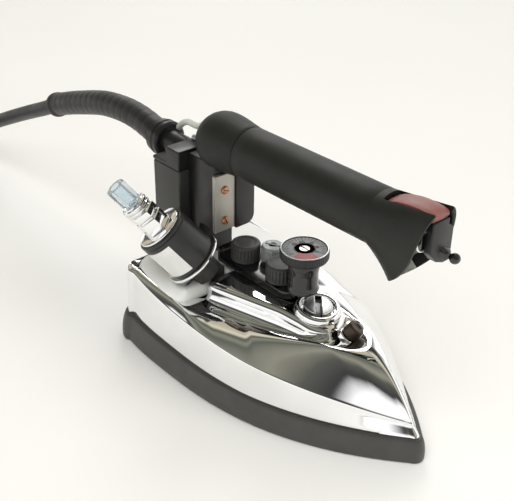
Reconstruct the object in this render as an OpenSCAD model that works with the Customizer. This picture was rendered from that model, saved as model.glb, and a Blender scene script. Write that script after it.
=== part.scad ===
// Industrial steam iron with a cord, a solenoid water valve and a thermostat dial.
// Origin: centre of the flat sole face. +X to the tip, +Y to the iron's left, +Z up.
// Units are millimetres.

/* [Sole and cover] */
// overall sole length
sole_l = 208; // [190:1:225]
// greatest sole width
sole_w = 116.4; // [105:0.2:130]
// height of the dark shoe band at the tip
shoe_h = 14.2; // [12:0.1:20]
// top of the chrome platform
deck_z = 57; // [50:0.5:62]

/* [Handle] */
// height of the grip axis above the sole face
grip_z = 132; // [120:1:145]
// grip radius
grip_r = 15.2; // [14:0.1:20]
// front end of the plain grip
grip_x1 = 61; // [50:1:70]
// rear end of the plain grip
grip_x0 = -38; // [-45:1:-30]

/* [Thermostat] */
// dial radius
dial_r = 14; // [12:0.5:16]
// dial position along the iron
dial_x = 9.5; // [4:0.5:10]

/* [Valve] */
// coil can radius
can_r = 15.8; // [14:0.1:20]
// coil can length
can_l = 25.5; // [22:0.5:36]

/* [Cord] */
// cord diameter
cord_d = 11; // [8:0.5:13]
// mean radius of the stored coil
coil_r = 56; // [54:1:60]

/* [Hidden] */
hw = sole_w / 2;
k = sole_l / 208;
seg = 64;
vn = [-0.357, -0.546, 0.758];
vax = vn / norm(vn);
vf = [-53.5, -30.5, 67.4];
va_az = atan2(vax[1], vax[0]);
va_el = acos(vax[2] / norm(vax));
coil_c = [-470, -61.5];
cord_route = [
  [-126, 0, 115], [-134, 0, 117], [-146, 0, 119.2], [-160, 0, 119.9],
  [-174, 0, 118.9], [-188, 0, 116.8], [-202, 0, 113.2], [-216, 0, 109],
  [-230, 0, 104.6], [-250, 0, 97.6], [-264, 0, 91.4], [-280, 0, 84.4], [-298, 0, 76.8],
  [-316, 0, 69], [-334, 0, 61], [-352, 0, 52.8], [-368, 0, 45.2], [-384, 0, 37.6],
  [-398, 0, 31.2], [-412, 0, 25.6], [-426, 0, 21], [-440, 0, 18.2]];

// ---------- outline of the sole ----------
function half_w(x) = x > -48 ? hw * (1 - pow((x + 48) / 154.5, 2.5))
  : hw * (1 - pow((-48 - x) / 119, 3.05));
side_x = [99, 95, 90, 84, 77, 69, 60, 50, 40, 30, 20, 10, 0, -11, -23, -35, -47, -59,
  -70, -80, -88];
half_line = concat(
  [for (a = [0:8:48]) [98 + 6 * cos(a), 6 * sin(a)]],
  [for (x = side_x) [x, half_w(x)]],
  [for (a = [100:16:180]) [-90 + 14 * cos(a), 43.3 + 14 * sin(a)]],
  [[-104, 29], [-104, 14], [-104, 0]]);
function mirrored(h) = concat(h, [for (i = [len(h) - 2:-1:1]) [h[i][0], -h[i][1]]]);
base_line = mirrored(half_line);
function tangent(p, i) = let (n = len(p), d = p[(i + 1) % n] - p[(i + n - 1) % n]) d / norm(d);
function inset_pt(p, i, d) = let (t = tangent(p, i)) p[i] + d * [-t[1], t[0]];
function inset(p, d) = [for (i = [0:len(p) - 1]) inset_pt(p, i, d)];
function scaled(p) = [for (q = p) q * k];
// along the iron: 0 at the tip, 1 at the heel
function back(x) = min(1, max(0, (104 - x) / 208));
function shoe_top(x) = shoe_h + 4 * back(x);
function lean(x) = 0.65 + 0.35 * back(x);
// towards the tip the cover is tucked in and its crease runs lower
function front(x) = pow(max(0, (x - 10) / 94), 1.3);
function crease(x) = x > -48 ? 43.5 - 0.0652 * (x + 48) - 0.000395 * pow(x + 48, 2) - 3 * front(x)
  : 43.5 + 0.132 * (-48 - x);
function tuck(r, e) = [for (q = r) let (g = e * front(q[0] / k))
  [q[0] - 5 * g * k, q[1] * (1 - 0.2 * g), q[2]]];
// a ring of points at an inset (scaled by the lean) and a height
function ring(d, h) = [for (i = [0:len(base_line) - 1])
  let (x = base_line[i][0], q = inset_pt(base_line, i, d * lean(x))) [q[0] * k, q[1] * k, h[i]]];
function at_x(f) = [for (q = base_line) f == 0 ? shoe_top(q[0]) : crease(q[0])];
function raise(h, d) = [for (v = h) v + d];
function mix_h(a, b, t) = [for (i = [0:len(a) - 1]) a[i] * (1 - t) + b[i] * t];
function level(z) = [for (q = base_line) z];

// ---------- mesh helpers ----------
function strip(a, b, n) = [for (i = [0:n - 1]) each
  [[a + i, a + (i + 1) % n, b + (i + 1) % n], [a + i, b + (i + 1) % n, b + i]]];
// rings of n points that close on themselves, as a tube's wall does
module hoop(rings) {
  n = len(rings[0]);
  m = len(rings);
  polyhedron(points = [for (r = rings) each r],
    faces = [for (j = [0:m - 1]) each strip(j * n, ((j + 1) % m) * n, n)]);
}
// rings of n points with a flat fan on each end
function mid(r) = let (n = len(r)) [for (c = [0:2]) [for (q = r) q[c]] * [for (q = r) 1] / n];
module stack(rings) {
  n = len(rings[0]);
  m = len(rings);
  c0 = m * n;
  c1 = c0 + 1;
  polyhedron(points = concat([for (r = rings) each r], [mid(rings[0]), mid(rings[m - 1])]),
    faces = concat([for (j = [0:m - 2]) each strip(j * n, (j + 1) * n, n)],
      [for (i = [0:n - 1]) [c0, (i + 1) % n, i]],
      [for (i = [0:n - 1]) [c1, (m - 1) * n + i, (m - 1) * n + (i + 1) % n]]));
}
module sheet_of(d, z0, z1) {
  translate([0, 0, z0]) linear_extrude(z1 - z0) polygon(scaled(inset(base_line, d)));
}
// a plainer outline for the sheets deep inside, whose corners would fold over in an inset
function inner_half(d) = let (r = max(3, 14 - d), s = [for (x = side_x)
    if (x > -84 && half_w(x) - d * (x > 40 ? 1.25 : 1.02) > 3) x])
  concat([[-48 + 154.5 * pow(1 - 1.25 * d / hw, 0.4), 0]],
    [for (x = s) [x, half_w(x) - d * (x > 40 ? 1.25 : 1.02)]],
    [for (a = [90:30:180]) [-104 + d + r + r * cos(a), 57 - d - r + r * sin(a)]],
    [[d - 104, 0]]);
module inner_sheet(d, z0, z1) {
  translate([0, 0, z0]) linear_extrude(z1 - z0) polygon(scaled(mirrored(inner_half(d))));
}
module along_valve(t) {
  translate(vf + t * vax) rotate([0, va_el, va_az]) children();
}
module rod(r, z0, z1, n = 48) {
  translate([0, 0, z0]) cylinder(r = r, h = z1 - z0, $fn = n);
}
module pipe(r1, r0, z0, z1, n = 48) {
  difference() {
    rod(r1, z0, z1, n);
    rod(r0, z0 - 1, z1 + 1, n);
  }
}
module xrod(r, x0, x1, n = 48) {
  translate([x0, 0, 0]) rotate([0, 90, 0]) cylinder(r = r, h = x1 - x0, $fn = n);
}

// ---------- sole ----------
steam_xy = [[78, 0], [62, 10], [62, -10], [42, 34], [42, -34], [24, 39], [24, -39],
  [4, 43], [4, -43], [-18, 45], [-18, -45]];
module steam_holes(z0, z1, r) {
  for (q = steam_xy) translate([q[0], q[1], 0]) rod(r, z0, z1, 24);
}
module sole_sheet() {
  color([0.2, 0.2, 0.21]) difference() {
    sheet_of(3.2, 0, 2);
    steam_holes(-1, 3, 2);
  }
}
module shoe_rim() {
  st = at_x(0);
  color([0.24, 0.24, 0.25]) hoop([
    ring(3.1, level(0.2)), ring(1.2, level(0.2)), ring(0, level(1.2)),
    ring(0.2, mix_h(level(1.2), st, 0.35)), ring(1.4, mix_h(level(1.2), st, 0.7)),
    ring(3.1, raise(st, -1)), ring(4, st), ring(7.2, st), ring(8.8, raise(st, -1)),
    ring(8.8, level(2.3)), ring(3.1, level(2.3))]);
}
module heater_path(r) {
  for (s = [-1, 1]) translate([-78, s * 22, 14]) xrod(r, 0, 108, 32);
  translate([30, 0, 14]) rotate([0, 0, -90]) rotate_extrude(angle = 180, $fn = 96)
    translate([22, 0]) circle(r = r, $fn = 32);
}
module sole_plate() {
  color([0.75, 0.76, 0.77]) difference() {
    inner_sheet(9.9, 2.3, 14);
    steam_holes(2, 15, 2);
    heater_path(3.9);
  }
}
module heater_element() {
  color([0.55, 0.5, 0.45]) heater_path(3.8);
}
module steam_chamber() {
  color([0.7, 0.71, 0.72]) difference() {
    translate([-60, -14, 14]) cube([100, 28, 9]);
    for (x = [-54, -10, 34], y = [-10, 10]) translate([x, y, 0]) rod(1.6, 13, 24, 24);
    translate([-46, 0, 0]) rod(3, 16, 24, 32);
  }
}
module chamber_screws() {
  color([0.7, 0.7, 0.72]) for (x = [-54, -10, 34], y = [-10, 10]) translate([x, y, 0]) {
    rod(1.55, 15, 23.5, 24);
    rod(3, 23, 25, 24);
  }
}
module insulation_board() {
  color([0.85, 0.82, 0.75]) difference() {
    inner_sheet(17, 27, 30);
    translate([-46, 0, 0]) rod(8, 26, 31, 32);
  }
}

// ---------- cover ----------
function plat_w(x) = x > 22 ? sqrt(max(0, 240.25 - pow(x - 22, 2)))
  : x > 10 ? 18 - (x - 10) * 0.2083 : x > -40 ? 18 + (10 - x) * 0.27
  : min(45, 31.5 + (-40 - x) * 1.6);
function foot_z(x) = 46 + 0.08 * max(0, -34 - x);
function map_x(x) = -95 + (x + 104) * 132.5 / 208;
function hole_ring(s, dz) = [for (i = [0:len(base_line) - 1])
  let (q = base_line[i], xp = map_x(q[0]), r = min(1, abs(q[1]) / max(0.1, half_w(q[0]))),
    w = plat_w(xp) * r)
  [xp * k - (1 - s) * 2, sign(q[1]) * w * s * k, foot_z(xp) + dz]];
function dome_f(t) = 1 - pow(1 - min(1, t / 0.65), 1.8);
function swell(x) = 5.5 * min(1, max(0, (x - 20) / 60));
function dome_ring(t, d, dz) = let (a = tuck(ring(d, at_x(1)), 1), b = hole_ring(1, 0))
  [for (i = [0:len(a) - 1]) [a[i][0] * (1 - t) + b[i][0] * t, a[i][1] * (1 - t) + b[i][1] * t,
    a[i][2] + (b[i][2] - a[i][2]) * dome_f(t) + swell(base_line[i][0]) * 4 * t * (1 - t) + dz]];
module base_cover() {
  st = at_x(0);
  cr = at_x(1);
  color([0.85, 0.86, 0.88]) difference() {
    hoop([
    tuck(ring(4.4, raise(st, 0.1)), 0.3), tuck(ring(5, mix_h(st, cr, 0.5)), 0.6),
    tuck(ring(6, raise(cr, -1.2)), 0.95),
    dome_ring(0, 6.6, 0), dome_ring(0.12, 6.6, 0), dome_ring(0.25, 6.6, 0),
    dome_ring(0.4, 6.6, 0), dome_ring(0.55, 6.6, 0), dome_ring(0.75, 6.6, 0),
    hole_ring(1, 0), hole_ring(0.97, -1.6), dome_ring(0.75, 8.2, -1.7),
    dome_ring(0.4, 8.4, -1.8), dome_ring(0.12, 8.6, -2), tuck(ring(8, raise(cr, -3)), 0.9),
    tuck(ring(6.6, mix_h(st, cr, 0.5)), 0.6), tuck(ring(6.2, raise(st, 0.1)), 0.3)]);
    along_vent() rod(4, -8, 4, 40);
    along_vent() rod(5.1, 3.9, 12, 40);
  }
}
deck_half = concat(
  [[-44, 0], [-44, 14], [-44, 30], [-44, 40]],
  [for (a = [10:20:90]) [-51 + 7 * cos(a), 41.5 + 7 * sin(a)]],
  [[-60, 48.8], [-70, 48.8], [-80, 48]],
  [for (a = [100:20:180]) [-84 + 12 * cos(a), 35.6 + 12 * sin(a)]],
  [[-96, 24], [-96, 12], [-96, 0]]);
deck_line = mirrored(deck_half);
function deck_ring(d, z) = [for (i = [0:len(deck_line) - 1])
  let (p = deck_line[i], q = inset_pt(deck_line, i, d) - p) [(p[0] + 0.35 * q[0]) * k,
    (p[1] + q[1]) * k, z]];
deck_top = deck_z - 3;
module rear_deck() {
  color([0.8, 0.81, 0.82]) stack([
    deck_ring(14, deck_top - 1.8), deck_ring(9, deck_top - 2.8), deck_ring(3.4, 48),
    deck_ring(1.7, 45.5), deck_ring(0, 45.5), deck_ring(0.2, 47), deck_ring(1.6, 49.2),
    deck_ring(5, 51.6), deck_ring(10, 53.4), deck_ring(14, deck_top)]);
}
plat_half = concat(
  [for (a = [0:12:72]) [22 + 15.5 * cos(a), 15.5 * sin(a)]],
  [for (x = [20, 10, 0, -10, -20, -30, -38]) [x, plat_w(x)]],
  [[-42, 31.5], [-43.6, 29], [-43.8, 20], [-43.8, 10], [-43.8, 0]]);
plat_line = mirrored(plat_half);
function plat_z(x) = deck_z - max(0, x - 8) * 0.12;
function plat_ring(d, drop) = [for (q = inset(plat_line, d))
  [q[0] * k, q[1] * k, plat_z(q[0]) - drop]];
function plat_foot(d) = [for (q = inset(plat_line, d)) [q[0] * k, q[1] * k, 44]];
module cover_platform() {
  color([0.85, 0.86, 0.88]) difference() {
    stack([plat_ring(3.2, 2.6), plat_ring(2.2, 3.4), plat_foot(1.7), plat_foot(0),
      plat_ring(0, 2.4), plat_ring(0.5, 1), plat_ring(1.4, 0.2), plat_ring(3.2, 0)]);
    along_ring() rod(11.05, -4.6, 5, 64);
  }
}

// ---------- parts on the platform ----------
module bracket_foot() {
  color([0.09, 0.09, 0.1]) difference() {
    union() {
      translate([0, 9.5, deck_z]) rotate([90, 0, 0]) linear_extrude(19)
        polygon([[-56, 0], [-3, 0], [-3, 5], [-50.2, 5], [-52, 7.4], [-56, 9.5]]);
      translate([-3, 0, 0]) rod(9.5, deck_z, deck_z + 5, 64);
    }
    for (x = [-41, -10]) translate([x, 0, 0]) rod(3.05, deck_z - 1, deck_z + 12, 32);
    translate([-27, 9, 0]) rod(7.3, deck_z - 1, deck_z + 12, 48);
    translate([3, 0, 0]) rod(2.55, deck_z - 1, deck_z + 12, 48);
  }
}
module cover_studs() {
  color([0.7, 0.7, 0.72]) for (x = [-41, -10]) translate([x, 0, 0]) rod(3, deck_z, 70, 32);
}
module cap_nut() {
  color([0.05, 0.05, 0.05]) difference() {
    union() {
      rod(9, deck_z + 5, 72, 72);
      translate([0, 0, 72]) cylinder(r1 = 9, r2 = 8, h = 1, $fn = 72);
    }
    for (a = [0:15:345]) rotate([0, 0, a]) translate([9.4, 0, 0]) rod(0.8, deck_z + 7, 71, 16);
    rod(3, deck_z, 70, 32);
  }
}
module cap_nut_front() {
  translate([-10, 0, 0]) cap_nut();
}
module cap_nut_rear() {
  translate([-41, 0, 0]) cap_nut();
}
module steam_adjust_screw() {
  color([0.5, 0.5, 0.5]) translate([-27, 9, 0]) difference() {
    union() {
      rod(4, deck_z, 64, 32);
      rod(7, 64, 74, 48);
    }
    translate([-8, -0.8, 72.6]) cube([16, 1.6, 3]);
  }
}
// the ring and its plug sit square to the sloping nose of the platform
module along_ring() {
  translate([21, 0, 55.5]) rotate([0, 6.84, 0]) children();
}
module cup_ring() {
  color([0.88, 0.88, 0.9]) along_ring() rotate_extrude($fn = 72)
    polygon([[10, -3.5], [11, -3.5], [11, 0.1], [13.8, 0.1], [13.3, 2.1], [12, 3.9], [10.8, 3.9],
      [10, 2.9]]);
}
module drain_plug() {
  color([0.6, 0.6, 0.62]) along_ring() difference() {
    union() {
      rod(9.9, -3.5, -1.5, 64);
      rod(8.3, -1.5, 4.5, 64);
    }
    rotate([0, 0, 138]) translate([-10, -1.8, 0.9]) cube([20, 3.6, 5]);
  }
}
module along_vent() {
  translate([43, 0, 48]) rotate([0, 36, 40]) children();
}
module vent_collar() {
  color([0.88, 0.88, 0.9]) along_vent() pipe(5.5, 3.6, 0, 3.4, 40);
}
module vent_plug() {
  color([0.12, 0.11, 0.1]) along_vent() {
    rod(3.5, 0.5, 4, 40);
    rod(5, 4, 11, 40);
  }
}

// ---------- thermostat ----------
module thermostat_body() {
  color([0.06, 0.06, 0.06]) translate([dial_x - 1, 0, 0]) rotate_extrude($fn = 72)
    polygon([[3.05, 70], [3.05, 84], [9.3, 84], [9.3, 81], [8.5, 76], [8.5, 70], [9.3, 65.5],
      [9.3, 64], [0, 64], [0, 70]]);
  color([0.06, 0.06, 0.06]) translate([3, 0, 0]) {
    rod(3.6, deck_z + 5, 65, 40);
    rod(2.5, deck_z, 65, 40);
  }
}
module thermostat_dial() {
  color([0.06, 0.06, 0.06]) translate([dial_x - 1, 0, 0]) rotate_extrude($fn = 96)
    polygon([[0, 70.5], [3, 70.5], [3, 84.3], [dial_r - 1.2, 84.3], [dial_r, 85.5],
      [dial_r, 90.4], [dial_r - 0.6, 91], [dial_r - 1.2, 91], [dial_r - 1.4, 90],
      [5.2, 90], [5, 88.4], [0, 88.4]]);
}
module dial_plate() {
  color([0.72, 0.73, 0.74]) translate([dial_x - 1, 0, 0]) pipe(dial_r - 1.6, 5.4, 90, 90.5, 72);
}
module dial_screw() {
  color([0.8, 0.7, 0.5]) translate([dial_x - 1, 0, 0]) difference() {
    rod(3.9, 88.4, 90.6, 32);
    translate([-4, -0.5, 89.6]) cube([8, 1, 2]);
  }
}

// ---------- rear post ----------
gland_z = 114.5;
box_top = 111;
module rear_box() {
  color([0.2, 0.2, 0.2]) difference() {
    translate([-105, -20, deck_top]) cube([26, 40, box_top - deck_top]);
    translate([-102.5, -17.5, deck_top + 3]) cube([21, 35, 90]);
    translate([0, 0, gland_z]) xrod(7.05, -106, -88, 48);
    translate([0, 0, 102]) xrod(4, -82, -78, 32);
  }
}
// a low step behind, where the gland lies in a groove, and a hollow block in front
module box_lid() {
  color([0.08, 0.08, 0.08]) difference() {
    union() {
      translate([-105, -20, box_top]) cube([26, 40, 2.6]);
      translate([-92, -20, box_top]) cube([13, 40, 12.5]);
      translate([-102.3, -17.3, box_top - 2]) cube([20.6, 34.6, 2]);
    }
    translate([-89.5, -15, box_top - 3]) cube([8, 30, 12.5]);
    translate([0, 0, gland_z]) xrod(7.05, -106, -88, 48);
  }
}
// a pale sleeve for the switch wires, from the gland to the ball end of the handle
sleeve_pts = [[-112.2, 6.5, 122.2], [-107.6, 6, 126.6], [-101, 4.6, 129.6], [-94, 2.6, 131],
  [-87, 1, 132.4], [-81.4, 0, 134.8], [-77.8, 0, 137]];
module wire_sleeve() {
  color([0.75, 0.75, 0.72]) tube(sleeve_pts, [for (i = [0:6]) 2], 12);
}
module terminal_block() {
  color([0.85, 0.83, 0.76]) difference() {
    translate([-100, -14, deck_top + 3]) cube([15, 28, 24]);
    for (y = [-9, 0, 9]) translate([-92.5, y, 0]) rod(2.4, deck_top + 12, deck_top + 28, 24);
  }
}
module handle_leg() {
  color([0.07, 0.07, 0.07]) difference() {
    union() {
      translate([-79, -13, deck_top]) cube([10, 26, 25]);
      translate([-79, -13, deck_top + 25]) cube([25, 26, 121 - deck_top - 25]);
    }
    translate([-71, 0, 92]) xrod(2.6, 10, 18, 24);
  }
}
module front_plate() {
  color([0.86, 0.86, 0.87]) difference() {
    translate([-54, -15, 79]) cube([2.4, 15.2, 37]);
    at_grip() xrod(17.45, -58, -49, 80);
  }
}
module guard_cover() {
  color([0.08, 0.08, 0.08]) difference() {
    translate([-54, 0.4, 78]) cube([3.4, 14.6, 38]);
    at_grip() xrod(17.45, -58, -49, 80);
    difference() {
      translate([-55, 9, 77]) cube([6, 7, 7]);
      translate([-56, 9, 84]) xrod(6, 0, 8, 48);
    }
  }
}
module plate_screws() {
  color([0.6, 0.45, 0.4]) translate([-51.6, -7.5, 0]) for (z = [86, 106])
    translate([0, 0, z]) xrod(2.6, 0, 1.4, 32);
}

// ---------- handle ----------
module at_grip() {
  translate([0, 0, grip_z]) children();
}
socket_side = [[-77.3, 1], [-76.6, 5], [-75, 8.8], [-72.3, 12.3], [-69, 14.8], [-65, 16.7],
  [-60, 17.4], [-55, 17.3], [-50, 16.8], [-44, 15.9], [grip_x0, grip_r], [grip_x0, 11],
  [-72, 11], [-72, 1]];
module handle_socket() {
  color([0.08, 0.08, 0.08]) at_grip() rotate([0, 90, 0]) rotate_extrude($fn = 80)
    polygon([for (q = socket_side) [q[1], q[0]]]);
}
module grip_shell() {
  color([0.09, 0.09, 0.09]) at_grip() difference() {
    xrod(grip_r, grip_x0, grip_x1, 80);
    xrod(11, grip_x0 - 1, grip_x1 + 1, 64);
  }
}
module core_tube() {
  color([0.65, 0.66, 0.68]) at_grip() difference() {
    xrod(10.9, -71.9, 63, 64);
    xrod(9.4, -73, 64, 64);
  }
}
// mouth of the flare: half height, half width and how far it leans back
function mouth(a, d) = let (z = 126 + (26 - d) * cos(a), low = max(0, -cos(a)),
    y = (14.8 - d) * (1 - 0.18 * low) * sign(sin(a)) * pow(abs(sin(a)), 0.8 + 0.2 * low))
  [97.5 - 0.25 * (150 - z) - 0.095 * pow(max(0, 126 - z - d * 0.6), 1.5) - d * 0.1
    - 3 * low * (1 - abs(sin(a))), y, z];
function throat(a, d) = [grip_x1, (grip_r - d) * sin(a), grip_z + (grip_r - d) * cos(a)];
function flare_ring(t, d) = [for (i = [0:59]) let (a = i * 6, p = throat(a, d), q = mouth(a, d))
  [p[0] + (q[0] - p[0]) * t, p[1] + (q[1] - p[1]) * t,
    p[2] + (q[2] - p[2]) * t]];
module flare_body(d0, d1, t0) {
  hoop([flare_ring(t0, d0), flare_ring(0.35, d0), flare_ring(0.7, d0), flare_ring(1, d0),
    flare_ring(1, d1), flare_ring(0.7, d1), flare_ring(0.35, d1), flare_ring(t0, d1)]);
}
module handle_flare() {
  color([0.09, 0.09, 0.09]) difference() {
    flare_body(0, 2.2, 0);
    translate([66, -6.8, 141]) cube([40, 13.6, 20]);
  }
}
module flare_liner() {
  color([0.8, 0.8, 0.77]) difference() {
    flare_body(2.4, 3.2, 0.1);
    translate([50, -30, 122]) cube([60, 60, 40]);
  }
}
module switch_body() {
  color([0.12, 0.12, 0.12]) difference() {
    translate([63.2, -5, 122]) cube([21.8, 10, 18]);
    translate([81, 0, 0]) rod(1.55, 132, 141, 24);
  }
}
module switch_plunger() {
  color([0.8, 0.3, 0.25]) translate([81, 0, 0]) rod(1.5, 135, 144.2, 24);
}
// the thumb pad: an arched strip, hinged at its rear end
pad_side = [[67, 141.4], [73, 141.4], [75, 144.5], [95, 144.5], [96, 145.4], [96, 147.4],
  [95, 148.9], [92, 149.6], [86, 149.9], [80, 149.6], [75, 148.7], [70, 147.2], [67.6, 146.2],
  [67, 145.4]];
module steam_button() {
  color([0.45, 0.15, 0.14]) difference() {
    translate([0, 6, 0]) rotate([90, 0, 0]) linear_extrude(12) polygon(pad_side);
    translate([70, 7, 143.6]) rotate([90, 0, 0]) cylinder(r = 1.55, h = 14, $fn = 32);
  }
}
module lever_arm() {
  color([0.07, 0.07, 0.07]) {
    translate([90.5, 0, 0]) rotate([90, 0, 90]) linear_extrude(6)
      polygon([[-6, 144.5], [-6, 128.5], [-0.6, 122.3], [5, 120], [10, 120], [10, 138], [6, 141],
        [6, 144.5]]);
    translate([93.4, 2.6, 127]) rotate([0, 0, 51]) rotate([0, 122, 0]) cylinder(r = 3.6, h = 6,
      $fn = 40);
    translate([0, 7.6, 123.4]) xrod(1.6, 94, 100, 24);
    translate([101, 7.6, 123.4]) sphere(r = 2.8, $fn = 32);
  }
}
module lever_pin() {
  color([0.8, 0.8, 0.82]) translate([70, 7.6, 143.6]) rotate([90, 0, 0])
    cylinder(r = 1.5, h = 15.2, $fn = 32);
}

// ---------- solenoid valve ----------
module valve_foot() {
  color([0.1, 0.1, 0.1]) difference() {
    union() {
      along_valve(-14) rod(9, 0, 12.9, 48);
      translate([-60, -31, deck_top]) cube([15.8, 17, 6]);
    }
    translate([-80, -70, deck_top - 20]) cube([60, 80, 20]);
    translate([-44, -70, deck_top - 5]) cube([20, 80, 8.2]);
    translate([-57, -9.6, deck_top]) cube([30, 12, 20]);
  }
}
module valve_flange() {
  color([0.82, 0.82, 0.84]) difference() {
    along_valve(0) pipe(18, 6.2, -1, 0.8, 72);
    translate([-90, -70, deck_top - 14]) cube([70, 60, 14]);
  }
}
module coil_can() {
  color([0.1, 0.1, 0.1]) along_valve(0) difference() {
    rod(can_r, 0.8, can_l + 0.8, 72);
    rod(can_r - 1.5, 2.4, can_l - 0.6, 72);
    rod(6.2, 0, can_l + 2, 48);
  }
}
module coil_winding() {
  color([0.7, 0.35, 0.15]) along_valve(0) pipe(13, 6.6, 3.4, can_l - 1.6, 64);
}
module core_guide() {
  color([0.75, 0.75, 0.77]) along_valve(0) difference() {
    rod(6.1, -1, can_l + 0.8, 48);
    rod(5.05, 2, can_l - 4, 48);
  }
}
module valve_plunger() {
  color([0.6, 0.6, 0.62]) along_valve(0) rod(5, 2.4, 17.5, 48);
}
module can_label() {
  color([0.93, 0.93, 0.92]) along_valve(0) rotate_extrude(angle = 93, $fn = 96)
    translate([can_r + 0.02, 3.2]) square([0.4, 20.4]);
}
module can_collar() {
  color([0.08, 0.08, 0.08]) along_valve(can_l + 0.8) pipe(can_r, 4, 0, 2.2, 72);
}
module end_disc() {
  color([0.85, 0.85, 0.87]) along_valve(can_l + 3) pipe(14.4, 4, 0, 1.5, 64);
}
module inlet_union() {
  color([0.82, 0.82, 0.84]) along_valve(can_l + 4.5) pipe(9, 3, 0, 15.5, 6);
}
module inlet_nut() {
  color([0.82, 0.82, 0.84]) along_valve(can_l + 20) {
    pipe(6.6, 3, 0, 6, 48);
    translate([0, 0, 1]) pipe(8.2, 6.6, 0, 1.5, 48);
    translate([0, 0, 3.6]) pipe(8.2, 6.6, 0, 1.5, 48);
  }
}
module hose_stub() {
  color([0.85, 0.9, 0.92]) along_valve(can_l + 26) {
    pipe(5.8, 3, 0, 0.3, 48);
    pipe(6, 3, 0.3, 14, 48);
  }
}

// ---------- cord ----------
function unit(v) = v / norm(v);
function dir_at(p, i) = unit(p[min(len(p) - 1, i + 1)] - p[max(0, i - 1)]);
function across(t) = unit(cross([0, 1, 0.001], t));
function tube_ring(c, t, r, m) = let (u = across(t), v = cross(t, u))
  [for (j = [0:m - 1]) c + r * (cos(j * 360 / m) * u + sin(j * 360 / m) * v)];
module tube(p, r, m) {
  stack([for (i = [len(p) - 1:-1:0]) tube_ring(p[i], dir_at(p, i), r[i], m)]);
}
boot_n = 9;
boot_pts = concat([[-121, 0, 114]], [for (i = [0:boot_n]) cord_route[i]]);
module gland_nut() {
  color([0.09, 0.09, 0.09]) translate([0, 0, gland_z]) difference() {
    union() {
      xrod(7, -114, -89.5, 48);
      xrod(11.8, -121, -113.8, 64);
      xrod(11, -125.4, -121, 64);
    }
    xrod(cord_d / 2, -127, -88, 40);
  }
}
module cord_boot() {
  color([0.08, 0.08, 0.08]) {
    difference() {
      tube(boot_pts, [for (i = [0:boot_n + 1]) 8.7 - 0.05 * i], 16);
      translate([-125.45, -20, 90]) cube([12, 40, 50]);
    }
    translate(cord_route[boot_n]) rotate([0, -90 - 22, 0]) cylinder(r = 9, h = 5, $fn = 40);
  }
}
module cord_tube() {
  color([0.1, 0.1, 0.1]) tube([for (i = [boot_n:len(cord_route) - 1]) cord_route[i]],
    [for (i = [boot_n:len(cord_route) - 1]) cord_d / 2], 12);
}
module cord_coil() {
  color([0.1, 0.1, 0.1]) translate([coil_c[0], coil_c[1], 0]) rotate_extrude($fn = 96)
    translate([coil_r - 1.5 * cord_d, 0.1]) square([3 * cord_d, 2 * cord_d]);
}
module coil_tie() {
  color([0.15, 0.15, 0.15]) translate([coil_c[0] - coil_r, coil_c[1], 0]) difference() {
    translate([-18, -4, 0.05]) cube([36, 8, 23.4]);
    translate([-16.8, -5, -1]) cube([33.6, 10, 23.2]);
  }
}
plug_at = [coil_c[0] + 44, coil_c[1] - coil_r - cord_d, 10.2];
module mains_plug() {
  color([0.07, 0.07, 0.07]) translate(plug_at) union() {
    translate([16, -13, -10]) cube([30, 26, 20]);
    rotate([0, 90, 0]) cylinder(r1 = 6.6, r2 = 9, h = 16, $fn = 40);
    translate([-24, 0, -4.2]) rotate([0, 80, 0]) cylinder(r = cord_d / 2, h = 26, $fn = 40);
  }
}
module plug_pins() {
  color([0.8, 0.75, 0.6]) for (s = [-1, 1]) translate(plug_at + [46, s * 6.35, 0])
    translate([0, -0.8, -3.2]) cube([17, 1.6, 6.4]);
}

sole_sheet();
shoe_rim();
sole_plate();
heater_element();
steam_chamber();
chamber_screws();
insulation_board();
base_cover();
rear_deck();
cover_platform();
bracket_foot();
cover_studs();
cap_nut_front();
cap_nut_rear();
steam_adjust_screw();
cup_ring();
drain_plug();
vent_collar();
vent_plug();
thermostat_body();
thermostat_dial();
dial_plate();
dial_screw();
rear_box();
box_lid();
wire_sleeve();
terminal_block();
handle_leg();
front_plate();
guard_cover();
plate_screws();
handle_socket();
grip_shell();
core_tube();
handle_flare();
flare_liner();
switch_body();
switch_plunger();
steam_button();
lever_arm();
lever_pin();
valve_foot();
valve_flange();
coil_can();
coil_winding();
core_guide();
valve_plunger();
can_label();
can_collar();
end_disc();
inlet_union();
inlet_nut();
hose_stub();
gland_nut();
cord_boot();
cord_tube();
cord_coil();
coil_tie();
mains_plug();
plug_pins();
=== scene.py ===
"""Industrial steam iron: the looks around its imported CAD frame. Metres, +X to the tip, +Z up."""
import math

import bmesh
import bpy
from mathutils import Matrix, Vector


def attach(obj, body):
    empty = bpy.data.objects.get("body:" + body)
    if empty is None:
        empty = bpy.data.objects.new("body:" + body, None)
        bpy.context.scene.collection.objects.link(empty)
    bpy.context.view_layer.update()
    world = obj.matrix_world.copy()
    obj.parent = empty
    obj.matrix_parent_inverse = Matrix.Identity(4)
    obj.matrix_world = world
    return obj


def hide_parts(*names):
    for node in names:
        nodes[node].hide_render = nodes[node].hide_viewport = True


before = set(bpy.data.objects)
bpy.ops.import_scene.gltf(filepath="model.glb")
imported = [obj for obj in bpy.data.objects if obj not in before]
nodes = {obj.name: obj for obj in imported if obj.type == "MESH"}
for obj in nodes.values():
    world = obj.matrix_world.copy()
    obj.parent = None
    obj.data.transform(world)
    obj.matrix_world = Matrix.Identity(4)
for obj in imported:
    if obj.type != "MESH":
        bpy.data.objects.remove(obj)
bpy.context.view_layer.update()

MM = 0.001
scene = bpy.context.scene

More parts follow.
